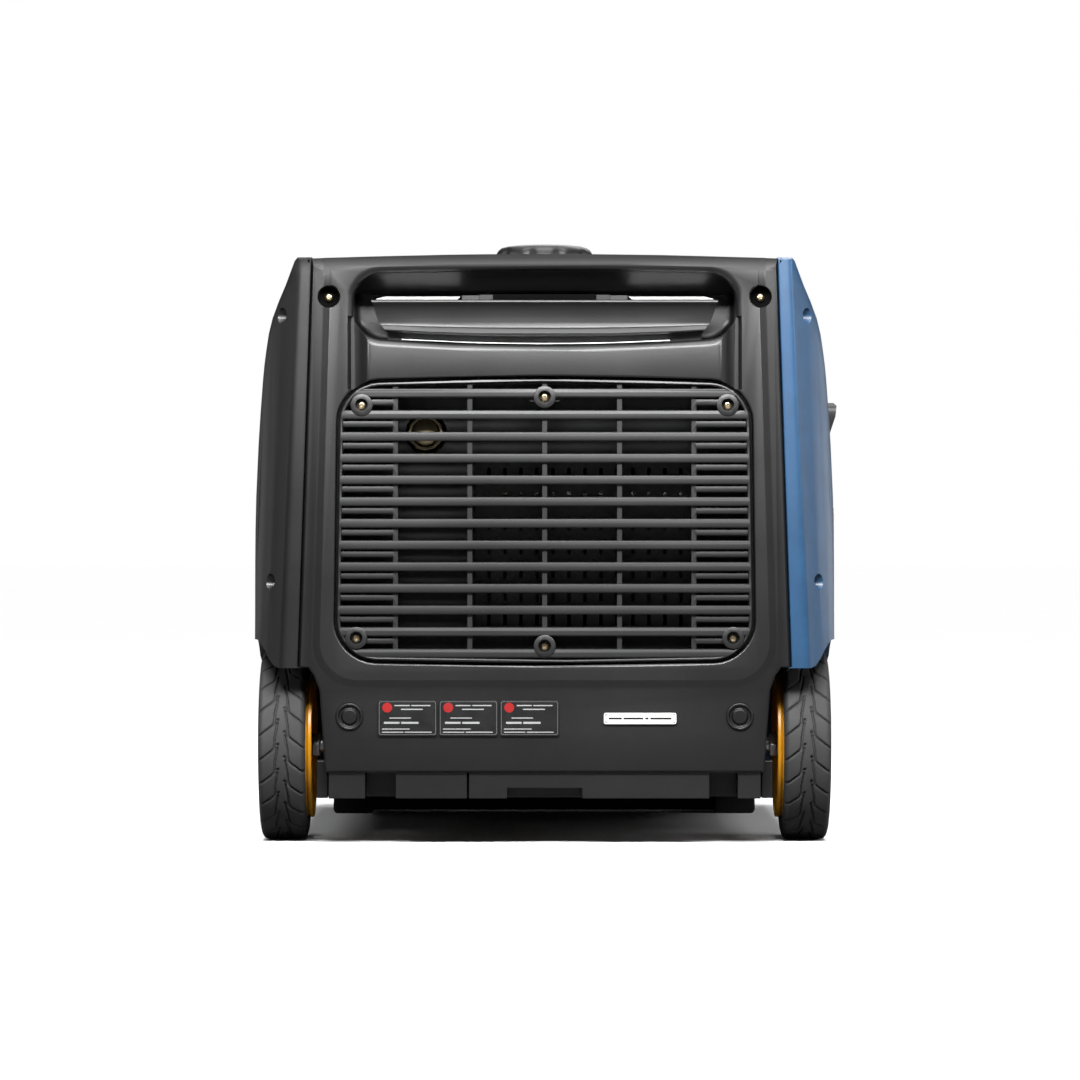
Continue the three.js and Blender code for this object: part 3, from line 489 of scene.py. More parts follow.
# ---- Housing shape ---------------------------------------------------------------------------
CROWN_Z, SHOULDER_Z = 467.2, 463.8
SEAM_TOP_X, SEAM_LOW_X, SKIRT_Z = 184.0, 195.0, 139.8
FACE = -299.65          # the end face, a little inside the CAD's so that its plates fit
STEP_BACK = 1.9         # how far the rim of the end face lies behind its raised middle


def crown_height(x, half):
    return SHOULDER_Z + (CROWN_Z - SHOULDER_Z) * (1 - (x / half) ** 2)


def crown_arch(half, steps, lift):
    """The top edge, from +half to -half."""
    stops = [half * (1 - 2 * k / steps) for k in range(steps + 1)]
    return [(x, crown_height(x, half) + lift) for x in stops]


def end_outline(grow):
    """An end of the housing; the top edge rolls back further than the sides."""
    g = grow
    side = [
        (174.0 + g, 57.0 - g), (178.5 + g, 122.0), (183.0 + g, 134.0),
        (187.5 + g, SKIRT_Z - g * 0.6), (SEAM_LOW_X + g, SKIRT_Z - g * 0.6),
    ]
    return side + crown_arch(SEAM_TOP_X + g, 32, g * 4.2) + mirrored(-1, side)


def end_solid(name, back=0.0):
    """One end of the housing as a solid with a rolled edge, its flat face set back."""
    roll = [(0, -2.5), (0.2, -2.0), (0.55, -1.45), (1.1, -0.9), (1.9, -0.45), (3.0, -0.15), (4.4, 0)]
    return stack(name, end_outline, [(FACE + back + d, grow) for d, grow in roll] + [(FACE + 60, 0)])


def end_blank(name, raised=False):
    body = end_solid(name, STEP_BACK if raised else 0.0)
    if raised:
        slope = [(-2, -3.3), (0.02, -3.3), (0.2, -2.6), (0.55, -1.5), (1.25, 1.0), (1.65, 2.2),
                 (STEP_BACK, 3.4), (6, 3.6)]
        middle = stack(
            "raised", lambda g: bowed_quad(182.0 + g, 168.2 + g, 127.0 - g, 560, 33.0 + g),
            [(FACE + d, grow) for d, grow in slope])
        joined(body, common(end_solid("middle"), middle))
    side = [(SEAM_LOW_X + 5, 0), (SEAM_LOW_X + 5, SKIRT_Z), (SEAM_LOW_X - 4, SKIRT_Z)]
    inside = side + crown_arch(SEAM_TOP_X - 4, 16, -4) + mirrored(-1, side)
    return cut(body, prism("hollow", inside, FACE + 4, FACE + 61))


def pocket_levels(floor, mouth, base):
    """From outside the face to the floor: a mouth of radius mouth, and a floor of radius base."""
    levels = [(FACE - 2, mouth)]
    for k in range(7):
        angle = math.radians(90 * k / 6)
        levels.append((FACE + mouth * (1 - math.cos(angle)), mouth * (1 - math.sin(angle))))
    for k in range(5):
        angle = math.radians(90 * k / 4)
        levels.append((floor - base + base * math.sin(angle), -base * (1 - math.cos(angle))))
    return levels


def grille_outline(grow):
    g = grow
    return bowed_quad(167.0 + g, 164.0 + g, 141.5 - g, 370.6 + g, 33.0 + g, 3.3, 4.5)


RECESS_HALF, RECESS_LOW, RECESS_HIGH = 155.3, 395.0, 459.5
CORNER_SCREW_X, CORNER_SCREW_Z = 170.7, 433.4
PLUG_X, PLUG_Z = 154.3, 101.4
WHEEL_Y, WHEEL_RADIUS = -215, 76


def recess_outline(grow):
    half = RECESS_HALF - 4 + grow
    return bowed_quad(half, half, RECESS_LOW - grow, RECESS_HIGH - 5 + grow, 21 + grow, 6.5, 3.0)


def pocket_side():
    """The handle pocket seen from the side: its upper wall slopes back to the deep part."""
    section = [(FACE - 3, 380), (-243, 380), (-243, 437.5), (-268, 437.5), (-272, 439.6),
               (-290.5, 456.2), (-294, 458.2), (-298, 460), (FACE - 0.2, 468), (FACE - 3, 468)]
    return prism("pocket_side", section, -170, 170, "X")


def bridge_channel(side):
    """The channel beside the bridge, from the pocket down to the grille."""
    section = [(157.0, -1), (155.8, 0), (155.2, 1.2), (154.6, 5.2), (153.2, 7.4), (151.0, 8.0),
               (147.5, 6.8), (143.5, 3.4), (140.5, 0.9), (138.5, 0), (136.0, -1)]
    return prism("channel", mirrored(side, [(a, FACE + b) for a, b in section]), 360, 418, "Z")


def round_seat(name, a, b, radius, depth, mouth, base):
    return stack(name, lambda grow: circle(a, b, radius + grow, 40), pocket_levels(FACE + depth, mouth, base))


def rear_panel():
    body = end_blank("rear_end_panel_finished", raised=True)
    pocket = rounded_rect(-RECESS_HALF - 3, RECESS_HALF + 3, RECESS_LOW - 3, 463, 12)
    walls = [prism("well", grille_outline(3.5), FACE + 3, FACE + 20), prism("pocket", pocket, FACE + 3, -241)]
    holes = [
        common(stack("recess", recess_outline, pocket_levels(-244, 6.0, 6.0)), pocket_side()),
        stack("opening", grille_outline, pocket_levels(FACE + 16.4, 1.6, 0.2)),
        prism("lip", grille_outline(-6), FACE + 15, FACE + 22),
    ]
    for side, _ in SIDES:
        screw_at = (side * CORNER_SCREW_X, CORNER_SCREW_Z)
        plug_at = (side * PLUG_X, PLUG_Z)
        walls += [
            box("bridge_wall", *span(side, 138.0, 158.0), FACE + 3, FACE + 13, 361, 396),
            drum("post", 12, FACE + 3, FACE + 16, screw_at),
        ]
        holes += [
            bridge_channel(side),
            round_seat("screw_hole", *screw_at, 8.9, 12, 0.8, 0.5),
            drum("screw_bore", 4.4, FACE + 1, FACE + 20, screw_at),
            round_seat("plug_seat", *plug_at, 11.2, 2.2, 0.6, 0.2),
            drum("plug_bore", 7.3, FACE + 1, FACE + 6, plug_at),
            prism("arch", circle(WHEEL_Y, WHEEL_RADIUS, 86, 64), *span(side, 187.5, 230.0), "X"),
        ]
    joined(body, *walls)
    cut(body, *holes)
    show(body, "housing_black", replaces="rear_end_panel", angle=38)


rear_panel()

# ---- Exhaust grille --------------------------------------------------------------------------
BAR_PITCH, BAR_HEIGHT, FIRST_BAR_TOP, BAR_COUNT = 17.15, 7.1, 360.8, 13
RIBS_X = (-118.0, -59.2, 0.0, 59.2, 118.0)
BOSSES = ((0, 354.0), (-144.7, 347.7), (144.7, 347.7), (0, 157.3), (-149, 163.6), (149, 163.6))
GRILLE_BLACK = moulded_plastic("grille_black", (0.006, 0.006, 0.0062), (0.4, 0.48), 0.1, 0.6, 0.015)


def bar_along_x(name, half, section, x_mid=0.0):
    return loft(name, [[(x, y, z) for y, z in section] for x in (x_mid - half, x_mid + half)])


def louvre_section(top, height, front, back, crown):
    """A blade with a sloping top edge that catches the light, and a small lower chamfer."""
    low = top - height
    slope = [(0, 1), (0.14, 0.2), (0.4, 0.04), (0.7, 0)]
    return [(back, low + 0.6), (front + 0.7, low), (front + 0.1, low + 0.7), (front, low + 1.0),
            *[(front + in_ * crown, top - down * crown) for in_, down in slope], (back, top)]


def screw(name, at, seat, radius):
    """A domed brass hex-socket screw seen end on; it rises towards -Y from its seat."""
    levels = [(seat + 1.0, 0), (seat - 0.6, 0), (seat - 1.5, -0.25 * radius), (seat - 1.9, -0.55 * radius)]
    head = stack(name, lambda grow: circle(*at, radius + grow, 24), levels)
    cut(head, prism("socket", circle(*at, radius * 0.36, 6), seat - 5, seat - 0.9))
    show(head, "brass", bevel=0.12, angle=30)


def grille():
    rim = stack("exhaust_grille_finished", grille_outline, [
        (-284, -2.4), (-297.4, -2.4), (-298.2, -2.8), (-298.5, -3.6), (-298.3, -4.4), (-297.6, -4.9),
        (-284, -5.4)], loop=True)
    blades = []
    for i in range(BAR_COUNT):
        top = FIRST_BAR_TOP - i * BAR_PITCH
        blades.append(bar_along_x("blade", 170, louvre_section(top, BAR_HEIGHT, -298.5, -286, 3.0)))
        for side, _ in SIDES:
            section = louvre_section(top - BAR_HEIGHT - 1.3, 4.9, -295.5, -285.5, 1.8)
            blades.append(bar_along_x("side_blade", 27, section, side * 144))
    for x in RIBS_X:
        blades.append(box("rib", x - 1.9, x + 1.9, -295.5, -284, 140, 372))
    fill = joined(blades[0], *blades[1:])
    fill = common(fill, prism("inside", grille_outline(-3.4), -299, -283))
    pads = [drum("boss", 8.7, -299.5, -284, at, edge=0.5, count=40) for at in BOSSES]
    gusset = ((2, 354.5), (16, 354.5), (11, 350.5), (2, 350.5))
    gussets = [prism("gusset", mirrored(side, gusset), -294, -286) for side, _ in SIDES]
    joined(rim, fill, *pads, *gussets)
    cut(rim, *[drum("bore", 5.1, -300, -292.5, at) for at in BOSSES])
    show(rim, "trim_black", GRILLE_BLACK, "exhaust_grille", bevel=0.35, angle=30)
    for i, at in enumerate(BOSSES):
        screw(f"grille_screw_{i + 1}", at, -293.2, 3.6)


grille()

for side, label in SIDES:
    screw(f"corner_screw_{label}", (side * CORNER_SCREW_X, CORNER_SCREW_Z - 0.4), -289.4, 3.4)
    profile = [(8.7, -9.0), (8.7, 1.6), (3.6, 1.6), (3.6, 0.9), (7.9, 0.9), (8.2, -9.0)]
    centre = (side * CORNER_SCREW_X, -289.0, CORNER_SCREW_Z)
    cup = turned(f"corner_cup_{label}", profile, centre, "Y", 40, closed=True)
    # The cup lining the screw hole wears painted shade, for the dark of the hole.
    show(cup, "steel", SHADE_BLACK, bevel=0.15)

for i, x in enumerate((-121.5, 0, 121.5)):
    z = 450.6
    seat = drum(f"pocket_screw_seat_{i + 1}", 4.9, -246.5, -243.0, (x, z), edge=0.4)
    joined(seat, prism("drip", [(x - 0.9, z - 4), (x, z - 6.8), (x + 0.9, z - 4)], -246.0, -243.5))
    cut(seat, prism("socket", circle(x, z, 1.7, 6), -248, -245))
    show(seat, "steel", TRIM, bevel=0.2)

# ---- Grab handle -----------------------------------------------------------------------------
HANDLE_SECTION = [
    (-292.0, 431.2), (-295.5, 431.0), (-297.3, 430.3), (-297.7, 429.2), (-296.8, 428.0), (-294.8, 426.6),
    (-293.6, 425.0), (-292.9, 422.2), (-292.4, 419.2), (-292.05, 416.2), (-291.85, 413.2), (-291.8, 410.6),
    (-292.1, 409.0), (-296.4, 408.2), (-297.4, 407.4), (-299.0, 403.8), (-298.8, 402.7), (-296.8, 402.0),
    (-288.0, 402.0), (-287.0, 395.5), (-280.0, 395.5), (-279.0, 402.0), (-274.5, 403.6), (-272.4, 407.0),
    (-272.0, 411.0), (-272.0, 423.0), (-273.5, 428.0), (-277.5, 430.6),
]
# half the bar's width at each height: a point at the top, slanting in towards the lip
HANDLE_HALF = [(390, 124.0), (401.5, 124.0), (403.0, 126.2), (406.0, 128.4), (410, 130.2), (430.0, 137.0),
               (432, 137.5)]


def along(points, value):
    """Straight-line reading of y at value, from (value, y) pairs in rising order."""
    for (a0, b0), (a1, b1) in zip(points, points[1:]):
        if value <= a1:
            return b0 + (b1 - b0) * (value - a0) / (a1 - a0)
    return points[-1][1]


def grab_handle():
    rings = []
    for i in range(49):
        t = i / 24 - 1
        ring = []
        for y, z in HANDLE_SECTION:
            low = max(0.0, min(1.0, (414 - z) / 8)) if z > 400 else 0.0
            ring.append((t * along(HANDLE_HALF, z), y + 1.2 * abs(t) ** 8, z + 3.8 * low * t * t))
        rings.append(ring)
    bar = loft("grab_handle_finished", rings)
    show(bar, "housing_black", replaces="rear_grab_handle", segments=3, angle=34)


grab_handle()


def pocket_strip(side, label):
    """A thin plate on the slope behind the handle, raised along its normal."""
    corners = [(133.5, -291, 431.9), (69.0, -291, 431.9), (67.0, -277, 434.4), (126.5, -277, 434.4)]
    p = [Vector(c) for c in mirrored(side, corners)]
    normal = (p[1] - p[0]).cross(p[3] - p[0]).normalized() * 0.4
    plate = loft(f"pocket_strip_{label}", [[tuple(c) for c in p], [tuple(c + normal) for c in p]])
    show(plate, "label_white", bevel=0.15)


for side, label in SIDES:
    pocket_strip(side, label)
    for part, x0, x1, top, material in (("tab", 52, 66, 435.6, BLACK), ("step", 41, 52, 436.2, TRIM)):
        block = box(f"pocket_{part}_{label}", *span(side, x0, x1), -271, -262, 431.6, top)
        show(block, "trim_black", material, bevel=0.3)
# A block of painted shade across the pocket wall, where the slot opening lies.
show(box("pocket_slot_painted_shade", -41, 41, -271, -262, 431.6, 436.6), "trim_black", SHADE_BLACK, bevel=0.3)

LIP_SECTION = ((-296.6, 0.9), (-289, 1.2), (-289, 2.0), (-296.6, 1.3))
lip_stops = [-113.0 + 212.0 * i / 32 for i in range(33)]
lower_strip = loft("pocket_strip_lower", [
    [(x, y, 395.0 + 6.0 * (x / 151) ** 2 + dz) for y, dz in LIP_SECTION] for x in lip_stops])
show(lower_strip, "label_white", bevel=0.1)

# ---- Lower panel: plugs and blank plates -----------------------------------------------------
for side, label in SIDES:
    profile = [(10.6, 2.2), (10.7, -0.9), (10.2, -1.5), (9.2, -1.5), (8.6, -1.0), (8.2, 0.6), (7.0, 1.0),
               (6.2, 0.6), (5.8, -0.6), (5.2, -1.0), (1e-3, -1.1), (1e-3, 2.2)]
    plug = turned(f"lower_plug_{label}_finished", profile, (side * PLUG_X, -298.2, PLUG_Z), "Y")
    show(plug, "soft_rubber", TRIM, f"lower_plug_{label}", bevel=0.25, angle=28)


def label_plate(name, x0, x1, z0, z1, ground, border, ink, marks, dot=None):
    """A blank printed plate: a border line, plain bars and at most one plain dot."""
    base = prism(name, rounded_rect(x0, x1, z0, z1, 1.6), FACE - 0.22, FACE + 0.5)
    show(base, "label_white", ground, bevel=0.08)
    section = [(FACE - 0.1, -0.7), (FACE - 0.27, -0.7), (FACE - 0.27, -1.15), (FACE - 0.1, -1.15)]
    line = stack(name + "_border", frame_shape(x0, x1, z0, z1, 1.6, spread=0), section, loop=True)
    show(line, "label_white", border, bevel=0)
    bars = [prism("bar", rounded_rect(a0, a1, b0, b1, min(0.45, (b1 - b0) * 0.4), 3), FACE - 0.27, FACE - 0.1)
            for a0, a1, b0, b1 in marks]
    show(merged(name + "_bars", bars), "label_white", ink, bevel=0)
    if dot:
        mark = drum(name + "_dot", 3.9, FACE - 0.3, FACE - 0.1, dot, count=24)
        show(mark, "label_red", bevel=0)


LABEL_DARK = gloss_plastic("label_dark", (0.006, 0.006, 0.0065), (0.35, 0.45))
LABEL_INK = gloss_plastic("label_ink", (0.30, 0.30, 0.30), (0.4, 0.5))
LABEL_LINE = gloss_plastic("label_line", (0.09, 0.09, 0.09), (0.4, 0.5))
PLATE_WIDTH, PLATE_PITCH, PLATE_LEFT, PLATE_LOW, PLATE_TOP = 46.4, 48.2, -131.6, 86.4, 114.2
# plain bars: start and end from the plate's left edge, lower and upper edge from its foot
PLATE_BARS = [(13, 25, 23.4, 24.3), (26.2, 41.4, 23.4, 24.3), (18, 35.4, 20.4, 21.3), (9, 26, 13.6, 14.4),
              (4.6, 17, 9.4, 11.0), (18.2, 32, 9.4, 11.0), (3, 25, 4.9, 5.7), (3, 20, 2.4, 3.2),
              (21, 42.4, 2.4, 3.2)]
for i in range(3):
    x0 = PLATE_LEFT + i * PLATE_PITCH
    bars = [(x0 + a0, x0 + a1, PLATE_LOW + b0, PLATE_LOW + b1) for a0, a1, b0, b1 in PLATE_BARS]
    label_plate(f"blank_plate_{i + 1}", x0, x0 + PLATE_WIDTH, PLATE_LOW, PLATE_TOP, LABEL_DARK, LABEL_LINE,
                LABEL_INK, bars, (x0 + 7.2, PLATE_TOP - 5.6))
WHITE_BARS = [(x0, x1, 99.2, 100.8) for x0, x1 in ((50.5, 61.0), (62.2, 78.0), (79.4, 82.0), (83.4, 100.2))]
label_plate("blank_plate_4", 46.8, 104.0, 95.6, 104.4, WHITE, LABEL_DARK, LABEL_DARK, WHITE_BARS)

# ---- Side panels -----------------------------------------------------------------------------
BULGE = [
    (184.7, 465.2), (186.2, 467.6), (189, 469.2), (192.5, 469.4), (195.6, 467.0), (198.0, 462.0),
    (206.2, 443.0), (217.4, 418.0), (223.6, 392.0), (227.2, 355.0), (230.4, 305.0), (232.0, 260.0),
    (232.4, 200.0), (232.2, 147.0), (229.6, 110.0), (225.6, 80.0), (219.5, 53.0), (214.0, 38.2),
]
# plan of one end: (X at the shoulder, |Y|, how much further out the lowest part leans)
EAR = [(184.3, 284.0, 11.0), (184.3, 298.4, 11.0), (184.7, 299.4, 11.0), (185.6, 299.9, 11.2),
       (188.0, 300.0, 12.5)]
FLANK = [
    (193.6, 299.8), (194.9, 298.8), (196.0, 297.0), (200.6, 289.6), (206.8, 280.0), (213.6, 267.6),
    (220.0, 255.0), (227.0, 236.0), (233.0, 215.0), (242.0, 170.0), (252.0, 120.0), (262.0, 60.0),
    (266.0, 20.0),
]
PLAN = EAR + [(x, y, 14.0) for x, y in FLANK]
LEAN_SPAN = SHOULDER_Z - SKIRT_Z
CREASES_Z = (140.6, 139.2, 122.4, 121.0, 61.0, 59.0)
TOP_OF_END = [(0, 470.2), (160, 470.2), (200, 468.9), (250, 466.8), (280, 465.4), (291, 464.8), (296, 464.2),
              (300, 462.6)]
# how far out the ears reach below the skirt, by height
EAR_FOOT = [(38, 190), (60, 190), (60.5, 179.6), (121.6, 179.6), (139.4, 190), (139.8, 195.3)]


def within(value):
    return max(0.0, min(1.0, value))


def soft_least(a, b, blend):
    mix = within(0.5 + 0.5 * (b - a) / blend)
    return b * (1 - mix) + a * mix - blend * mix * (1 - mix)


def curve_between(p0, p1, p2, p3, pieces):
    """Points of a Catmull-Rom curve from p1 up to, not including, p2."""
    p0, p1, p2, p3 = (Vector(p) for p in (p0, p1, p2, p3))
    result = []
    for t in (k / pieces for k in range(pieces)):
        result.append(tuple(0.5 * (2 * p1 + (p2 - p0) * t + (2 * p0 - 5 * p1 + 4 * p2 - p3) * t * t
                                   + (3 * p1 - p0 - 3 * p2 + p3) * t ** 3)))
    return result


def finer(stops, longest):
    """The same stops, with more in between wherever two lie far apart along Y."""
    result = [stops[0]]
    for start, end in zip(stops, stops[1:]):
        pieces = max(1, math.ceil(abs(end[1] - start[1]) / longest))
        result += [tuple(Vector(start).lerp(Vector(end), k / pieces)) for k in range(1, pieces + 1)]
    return result


def panel_rows():
    last = len(BULGE) - 1
    rows = []
    for i in range(last):
        pieces = max(1, round(abs(BULGE[i][1] - BULGE[i + 1][1]) / 13))
        before, after = BULGE[max(i - 1, 0)], BULGE[min(i + 2, last)]
        rows += curve_between(before, BULGE[i], BULGE[i + 1], after, pieces)
    rows.append(BULGE[-1])
    rows += [(along([(38, 214), (147, 232), (230, 232.4)], z), z) for z in CREASES_Z]
    return rows[:8] + sorted(rows[8:], key=lambda p: -p[1])


def panel_shell(name, side):
    """The whole skin of one side, before its openings are cut."""
    half = finer(PLAN, 22)
    rows = panel_rows()
    rings = []
    for x0, y, lean in [(x, -y, lean) for x, y, lean in half] + half[::-1]:
        ring = []
        ceiling = along(TOP_OF_END, abs(y))
        for bulge_x, z in rows:
            x = x0 + lean * (max(0.0, SHOULDER_Z - z) / LEAN_SPAN)
            if lean < 12 and z < SKIRT_Z:
                x = min(x, along(EAR_FOOT, z) + (x0 - 184.3))
            blend = (5.0 if abs(y) < 294 else 1.5) * within((bulge_x - 194) / 14) + 0.01
            x = min(soft_least(bulge_x, x, blend), 232.4)
            ring.append((side * x, y, min(z, ceiling)))
        rings.append(ring)
    skin = loft(name, rings, closed=False)
    step = skin.modifiers.new("thick", "SOLIDIFY")
    step.thickness, step.offset = 3.6 * MM, -1

    def face_outward(work):
        outward = sum(f.normal.x * f.calc_area() for f in work.faces) * side
        if outward < 0:
            bmesh.ops.reverse_faces(work, faces=work.faces)

    shell = baked(edit_mesh(skin, face_outward))
    crown = [(min(y, 299.9), z + 0.05) for y, z in TOP_OF_END]
    outline = [(-299.9, 20), (299.9, 20)] + crown[::-1] + [(-y, z) for y, z in crown[1:]]
    return common(shell, prism("envelope", outline, *span(side, 150, 250), "X"))


def arch_cutter(side):
    outline = [(-312, 30), (-312, 139.8), (-296, 139.8), (-289.5, 141.4), (-283, 146.5), (-276, 153.4),
               (-269, 158.8), (-262, 161.4), (-252, 162.0), (WHEEL_Y, 162.0)]
    for k in range(1, 25):
        angle = math.radians(90 - 118 * k / 24)
        outline.append((WHEEL_Y + 86 * math.cos(angle), WHEEL_RADIUS + 86 * math.sin(angle)))
    outline.append((-140, 30))
    return prism("arch", outline[::-1], *span(side, 170, 262), "X")


def side_cutter(shape, side, face, mouth):
    """Enters a side panel from outside, through a rounded mouth at face."""
    levels = [(face + 14, mouth * 2.2), (face + 3, mouth * 1.2), (face, mouth),
              (face - mouth * 0.5, mouth * 0.35), (face - mouth, 0), (180, 0)]
    return stack("opening", shape, mirrored(side, levels)[::-1], "X")


PANEL_SCREW_Y = (-280, 280)
PANEL_SCREWS = ((419, 202.0), (208, 211.0))     # height, and the dimple's floor


def slanting_boss(side, y, z, floor_x):
    """The material round a screw dimple; its outer end follows the panel's curved end."""
    outline = circle(y, z, 7.6)
    inner = [(side * (floor_x - 6), a, b) for a, b in outline]
    outer = [(side * (floor_x + 4.0 - 0.6 * (abs(a) - abs(y))), a, b) for a, b in outline]
    return loft("boss", [inner, outer])


def set_out(obj, side, x):
    """Moves a turned piece x out to one side; for the left side it is mirrored as well."""
    for v in obj.data.vertices:
        own_x = (v.co.x - HOUSING_X) / MM
        v.co.x = HOUSING_X + side * (x + own_x) * MM
    if side < 0:
        obj.data.flip_normals()
    return obj


def side_panel(side, label, slot, openings):
    skin = panel_shell(f"{label}_side_panel_finished", side)
    dimples = [(y, z, floor_x) for y in PANEL_SCREW_Y for z, floor_x in PANEL_SCREWS]
    joined(skin, *[slanting_boss(side, *at) for at in dimples])
    bores = [drum("bore", 6.3, *span(side, floor_x, 260), (y, z), "X", count=40) for y, z, floor_x in dimples]
    cut(skin, arch_cutter(side), *bores, *openings)
    show(skin, slot, replaces=f"{label}_side_panel", bevel=0.7, angle=38)
    head_profile = [(4.2, 0), (4.2, 1.0), (3.7, 1.6), (2.6, 1.9), (1.8, 1.9), (1.6, 0.9), (1e-3, 0.9)]
    for i, (y, z, floor_x) in enumerate(dimples):
        head = turned(f"{label}_panel_screw_{i + 1}", head_profile, (0, y, z), "X", 32)
        show(set_out(head, side, floor_x), "steel", TRIM, bevel=0.15)


def louvre_duct(side, label, y0, y1, slots):
    """Sloping blades behind the slots of a side panel, on a plate that shuts off the inside."""
    blades = []
    for z in slots:
        blade = [(219.0, z + 9.6), (218.2, z + 10.6), (203.0, z - 3.4), (203.0, z - 5.4)]
        blades.append(prism("blade", mirrored(side, blade), y0, y1))
    x0, x1 = span(side, 200.0, 203.4)
    duct = box(f"louvre_duct_{label}", x0, x1, y0 - 5, y1 + 5, slots[0] - 9, slots[-1] + 18)
    show(joined(duct, *blades), "trim_black", bevel=0.3)


RIGHT_SLOTS, LEFT_SLOTS = range(232, 340, 18), range(200, 344, 18)
right_openings = [side_cutter(frame_shape(-124, 154, 195, 385, 14, 5), 1, 229.5, 4.0)]
right_openings += [side_cutter(frame_shape(185, 255, z, z + 8, 3.6, 5), 1, 225, 0.8) for z in RIGHT_SLOTS]
side_panel(1, "right", "panel_blue", right_openings)
left_openings = [side_cutter(frame_shape(-150, 60, 185, 365, 16, 5), -1, 232, 0.6)]
left_openings += [side_cutter(frame_shape(100, 235, z, z + 8, 3.6, 5), -1, 226, 0.8) for z in LEFT_SLOTS]
side_panel(-1, "left", "housing_black", left_openings)
louvre_duct(1, "right", 181, 253, RIGHT_SLOTS)
louvre_duct(-1, "left", 96, 239, LEFT_SLOTS)
for side, label in SIDES:
    gutter = box(f"seam_gutter_{label}", *span(side, 183.9, 193.5), -239, 239, 446, 449)
    show(gutter, "trim_black", bevel=0.3)
    wall = box(f"tray_side_wall_{label}", *span(side, 172.0, 181.0), -282, -262, 36.2, 66)
    show(wall, "trim_black", bevel=0.8)

# ---- Service door, on the left ---------------------------------------------------------------
seat = prism("service_door_seat", rounded_rect(-158, 68, 177, 373, 20), 0, 3, "X")
cut(seat, prism("inside", rounded_rect(-141, 51, 194, 356, 12), -1, 4, "X"))
for v in seat.data.vertices:
    skin_x = along([(z, x) for x, z in BULGE[:4:-1]], v.co.z / MM)
    v.co.x -= (skin_x - 4.2) * MM
show(seat, "trim_black", bevel=0.3)

door = panel_shell("service_door_finished", -1)
door = common(door, prism("door_outline", rounded_rect(-148.8, 58.8, 186.2, 363.8, 14.8), -240, -215, "X"))
cut(door, drum("latch_hole", 11.5, -240, -215, (-132, 275), "X", count=48))
show(door, "housing_black", replaces="service_door", bevel=0.9, segments=3, angle=38, body="service_door")

# ---- Top cover and fuel cap ------------------------------------------------------------------
def top_cover():
    arch = crown_arch(184.2, 40, -0.1)
    under = [(a * 0.978, b - 4) for a, b in reversed(arch)]
    section = [(184.2, 440)] + arch + [(-184.2, 440), (-180.2, 440)] + under + [(180.2, 440)]
    cover = prism("top_cover_finished", section, -239.6, 239.6)
    collar = turned("collar", [(46.7, 458), (46.7, 468.0), (47.4, 468.7), (50.5, 468.7), (52.6, 468.2),
                               (54.2, 467.0), (54.2, 458)], (0, 0, 0), "Z", 64, closed=True)
    joined(cover, collar)
    groove = [(-171, 480), (-171, 465.2), (-169.6, 464.2), (-168.2, 465.2), (-168.2, 480)]
    grooves = [prism("groove", [(-side * x, z) for x, z in groove], -250, 250) for side, _ in SIDES]
    cut(cover, drum("filler", 46.7, 450, 480, (0, 0), "Z", count=64), *grooves)
    show(cover, "housing_black", replaces="top_cover", bevel=0.7, segments=3, angle=34)


def fuel_cap():
    profile = [(42.9, 470.1), (43.5, 470.9), (43.5, 473.0), (42.9, 475.0), (42.2, 478), (41.8, 481.0),
               (41.0, 484.0), (39.2, 486.8), (36.4, 488.9), (32.0, 490.1), (27.0, 490.7), (21.0, 490.9),
               (14.4, 490.9), (13.4, 490.5), (13.1, 489.6), (13.1, 487.0)]
    rings = []
    for radius, z in profile:
        grip = max(0.0, 1 - abs(z - 481.5) / 7.5)
        ring = []
        for k in range(160):
            angle = 2 * math.pi * k / 160
            reach = radius - max(0.0, math.cos(10 * angle)) ** 1.5 * 2.4 * grip
            ring.append((reach * math.cos(angle), reach * math.sin(angle), z))
        rings.append(ring)
    cap = loft("fuel_cap_finished", rings)
    show(cap, "trim_black", replaces="fuel_cap", bevel=0.25, angle=40, body="fuel_cap")


top_cover()
fuel_cap()
refined("fuel_cap_vent_lever", 0.5, material=TRIM)

# ---- Wheels ----------------------------------------------------------------------------------
WHEEL_X, TREAD_HALF, TREAD_PITCH, PITCH_STEPS = 208.8, 17.6, 15.0, 27
PITCH_LENGTH = WHEEL_RADIUS * math.radians(TREAD_PITCH)
# the tread's cuts, as (distance from the edge, place along one pitch)
GROOVE = ((-1.0, -0.05), (10.8, 0.42), (12.0, 0.52), (12.6, 0.9), (14.6, 1.52))
TREAD_DOT = ((14.8, 1.62), (14.9, 1.66))
TYRE_WALL = [(18.5, 69.8), (18.8, 67.0), (18.6, 64.4), (18.0, 63.9), (18.0, 62.6), (17.6, 60.4), (16.8, 59.2)]
WHEEL_CENTRE = (0, WHEEL_Y, WHEEL_RADIUS)


def distance_to(path, edge, phase):
    least = 99.0
    point = Vector((edge, phase * PITCH_LENGTH))
    for (e0, p0), (e1, p1) in zip(path, path[1:]):
        a, b = Vector((e0, p0 * PITCH_LENGTH)), Vector((e1, p1 * PITCH_LENGTH))
        t = within((point - a).dot(b - a) / (b - a).length_squared)
        least = min(least, (point - a.lerp(b, t)).length)
    return least


def tread_depth(edge, phase):
    groove = min(distance_to(GROOVE, edge, phase + k) for k in (-1, 0, 1, 2))
    dot = min(distance_to(TREAD_DOT, edge, phase + k) for k in (-1, 0, 1, 2))
    return max(within((1.0 - groove) / 0.5) * 1.7, within((1.2 - dot) / 0.5) * 1.7)


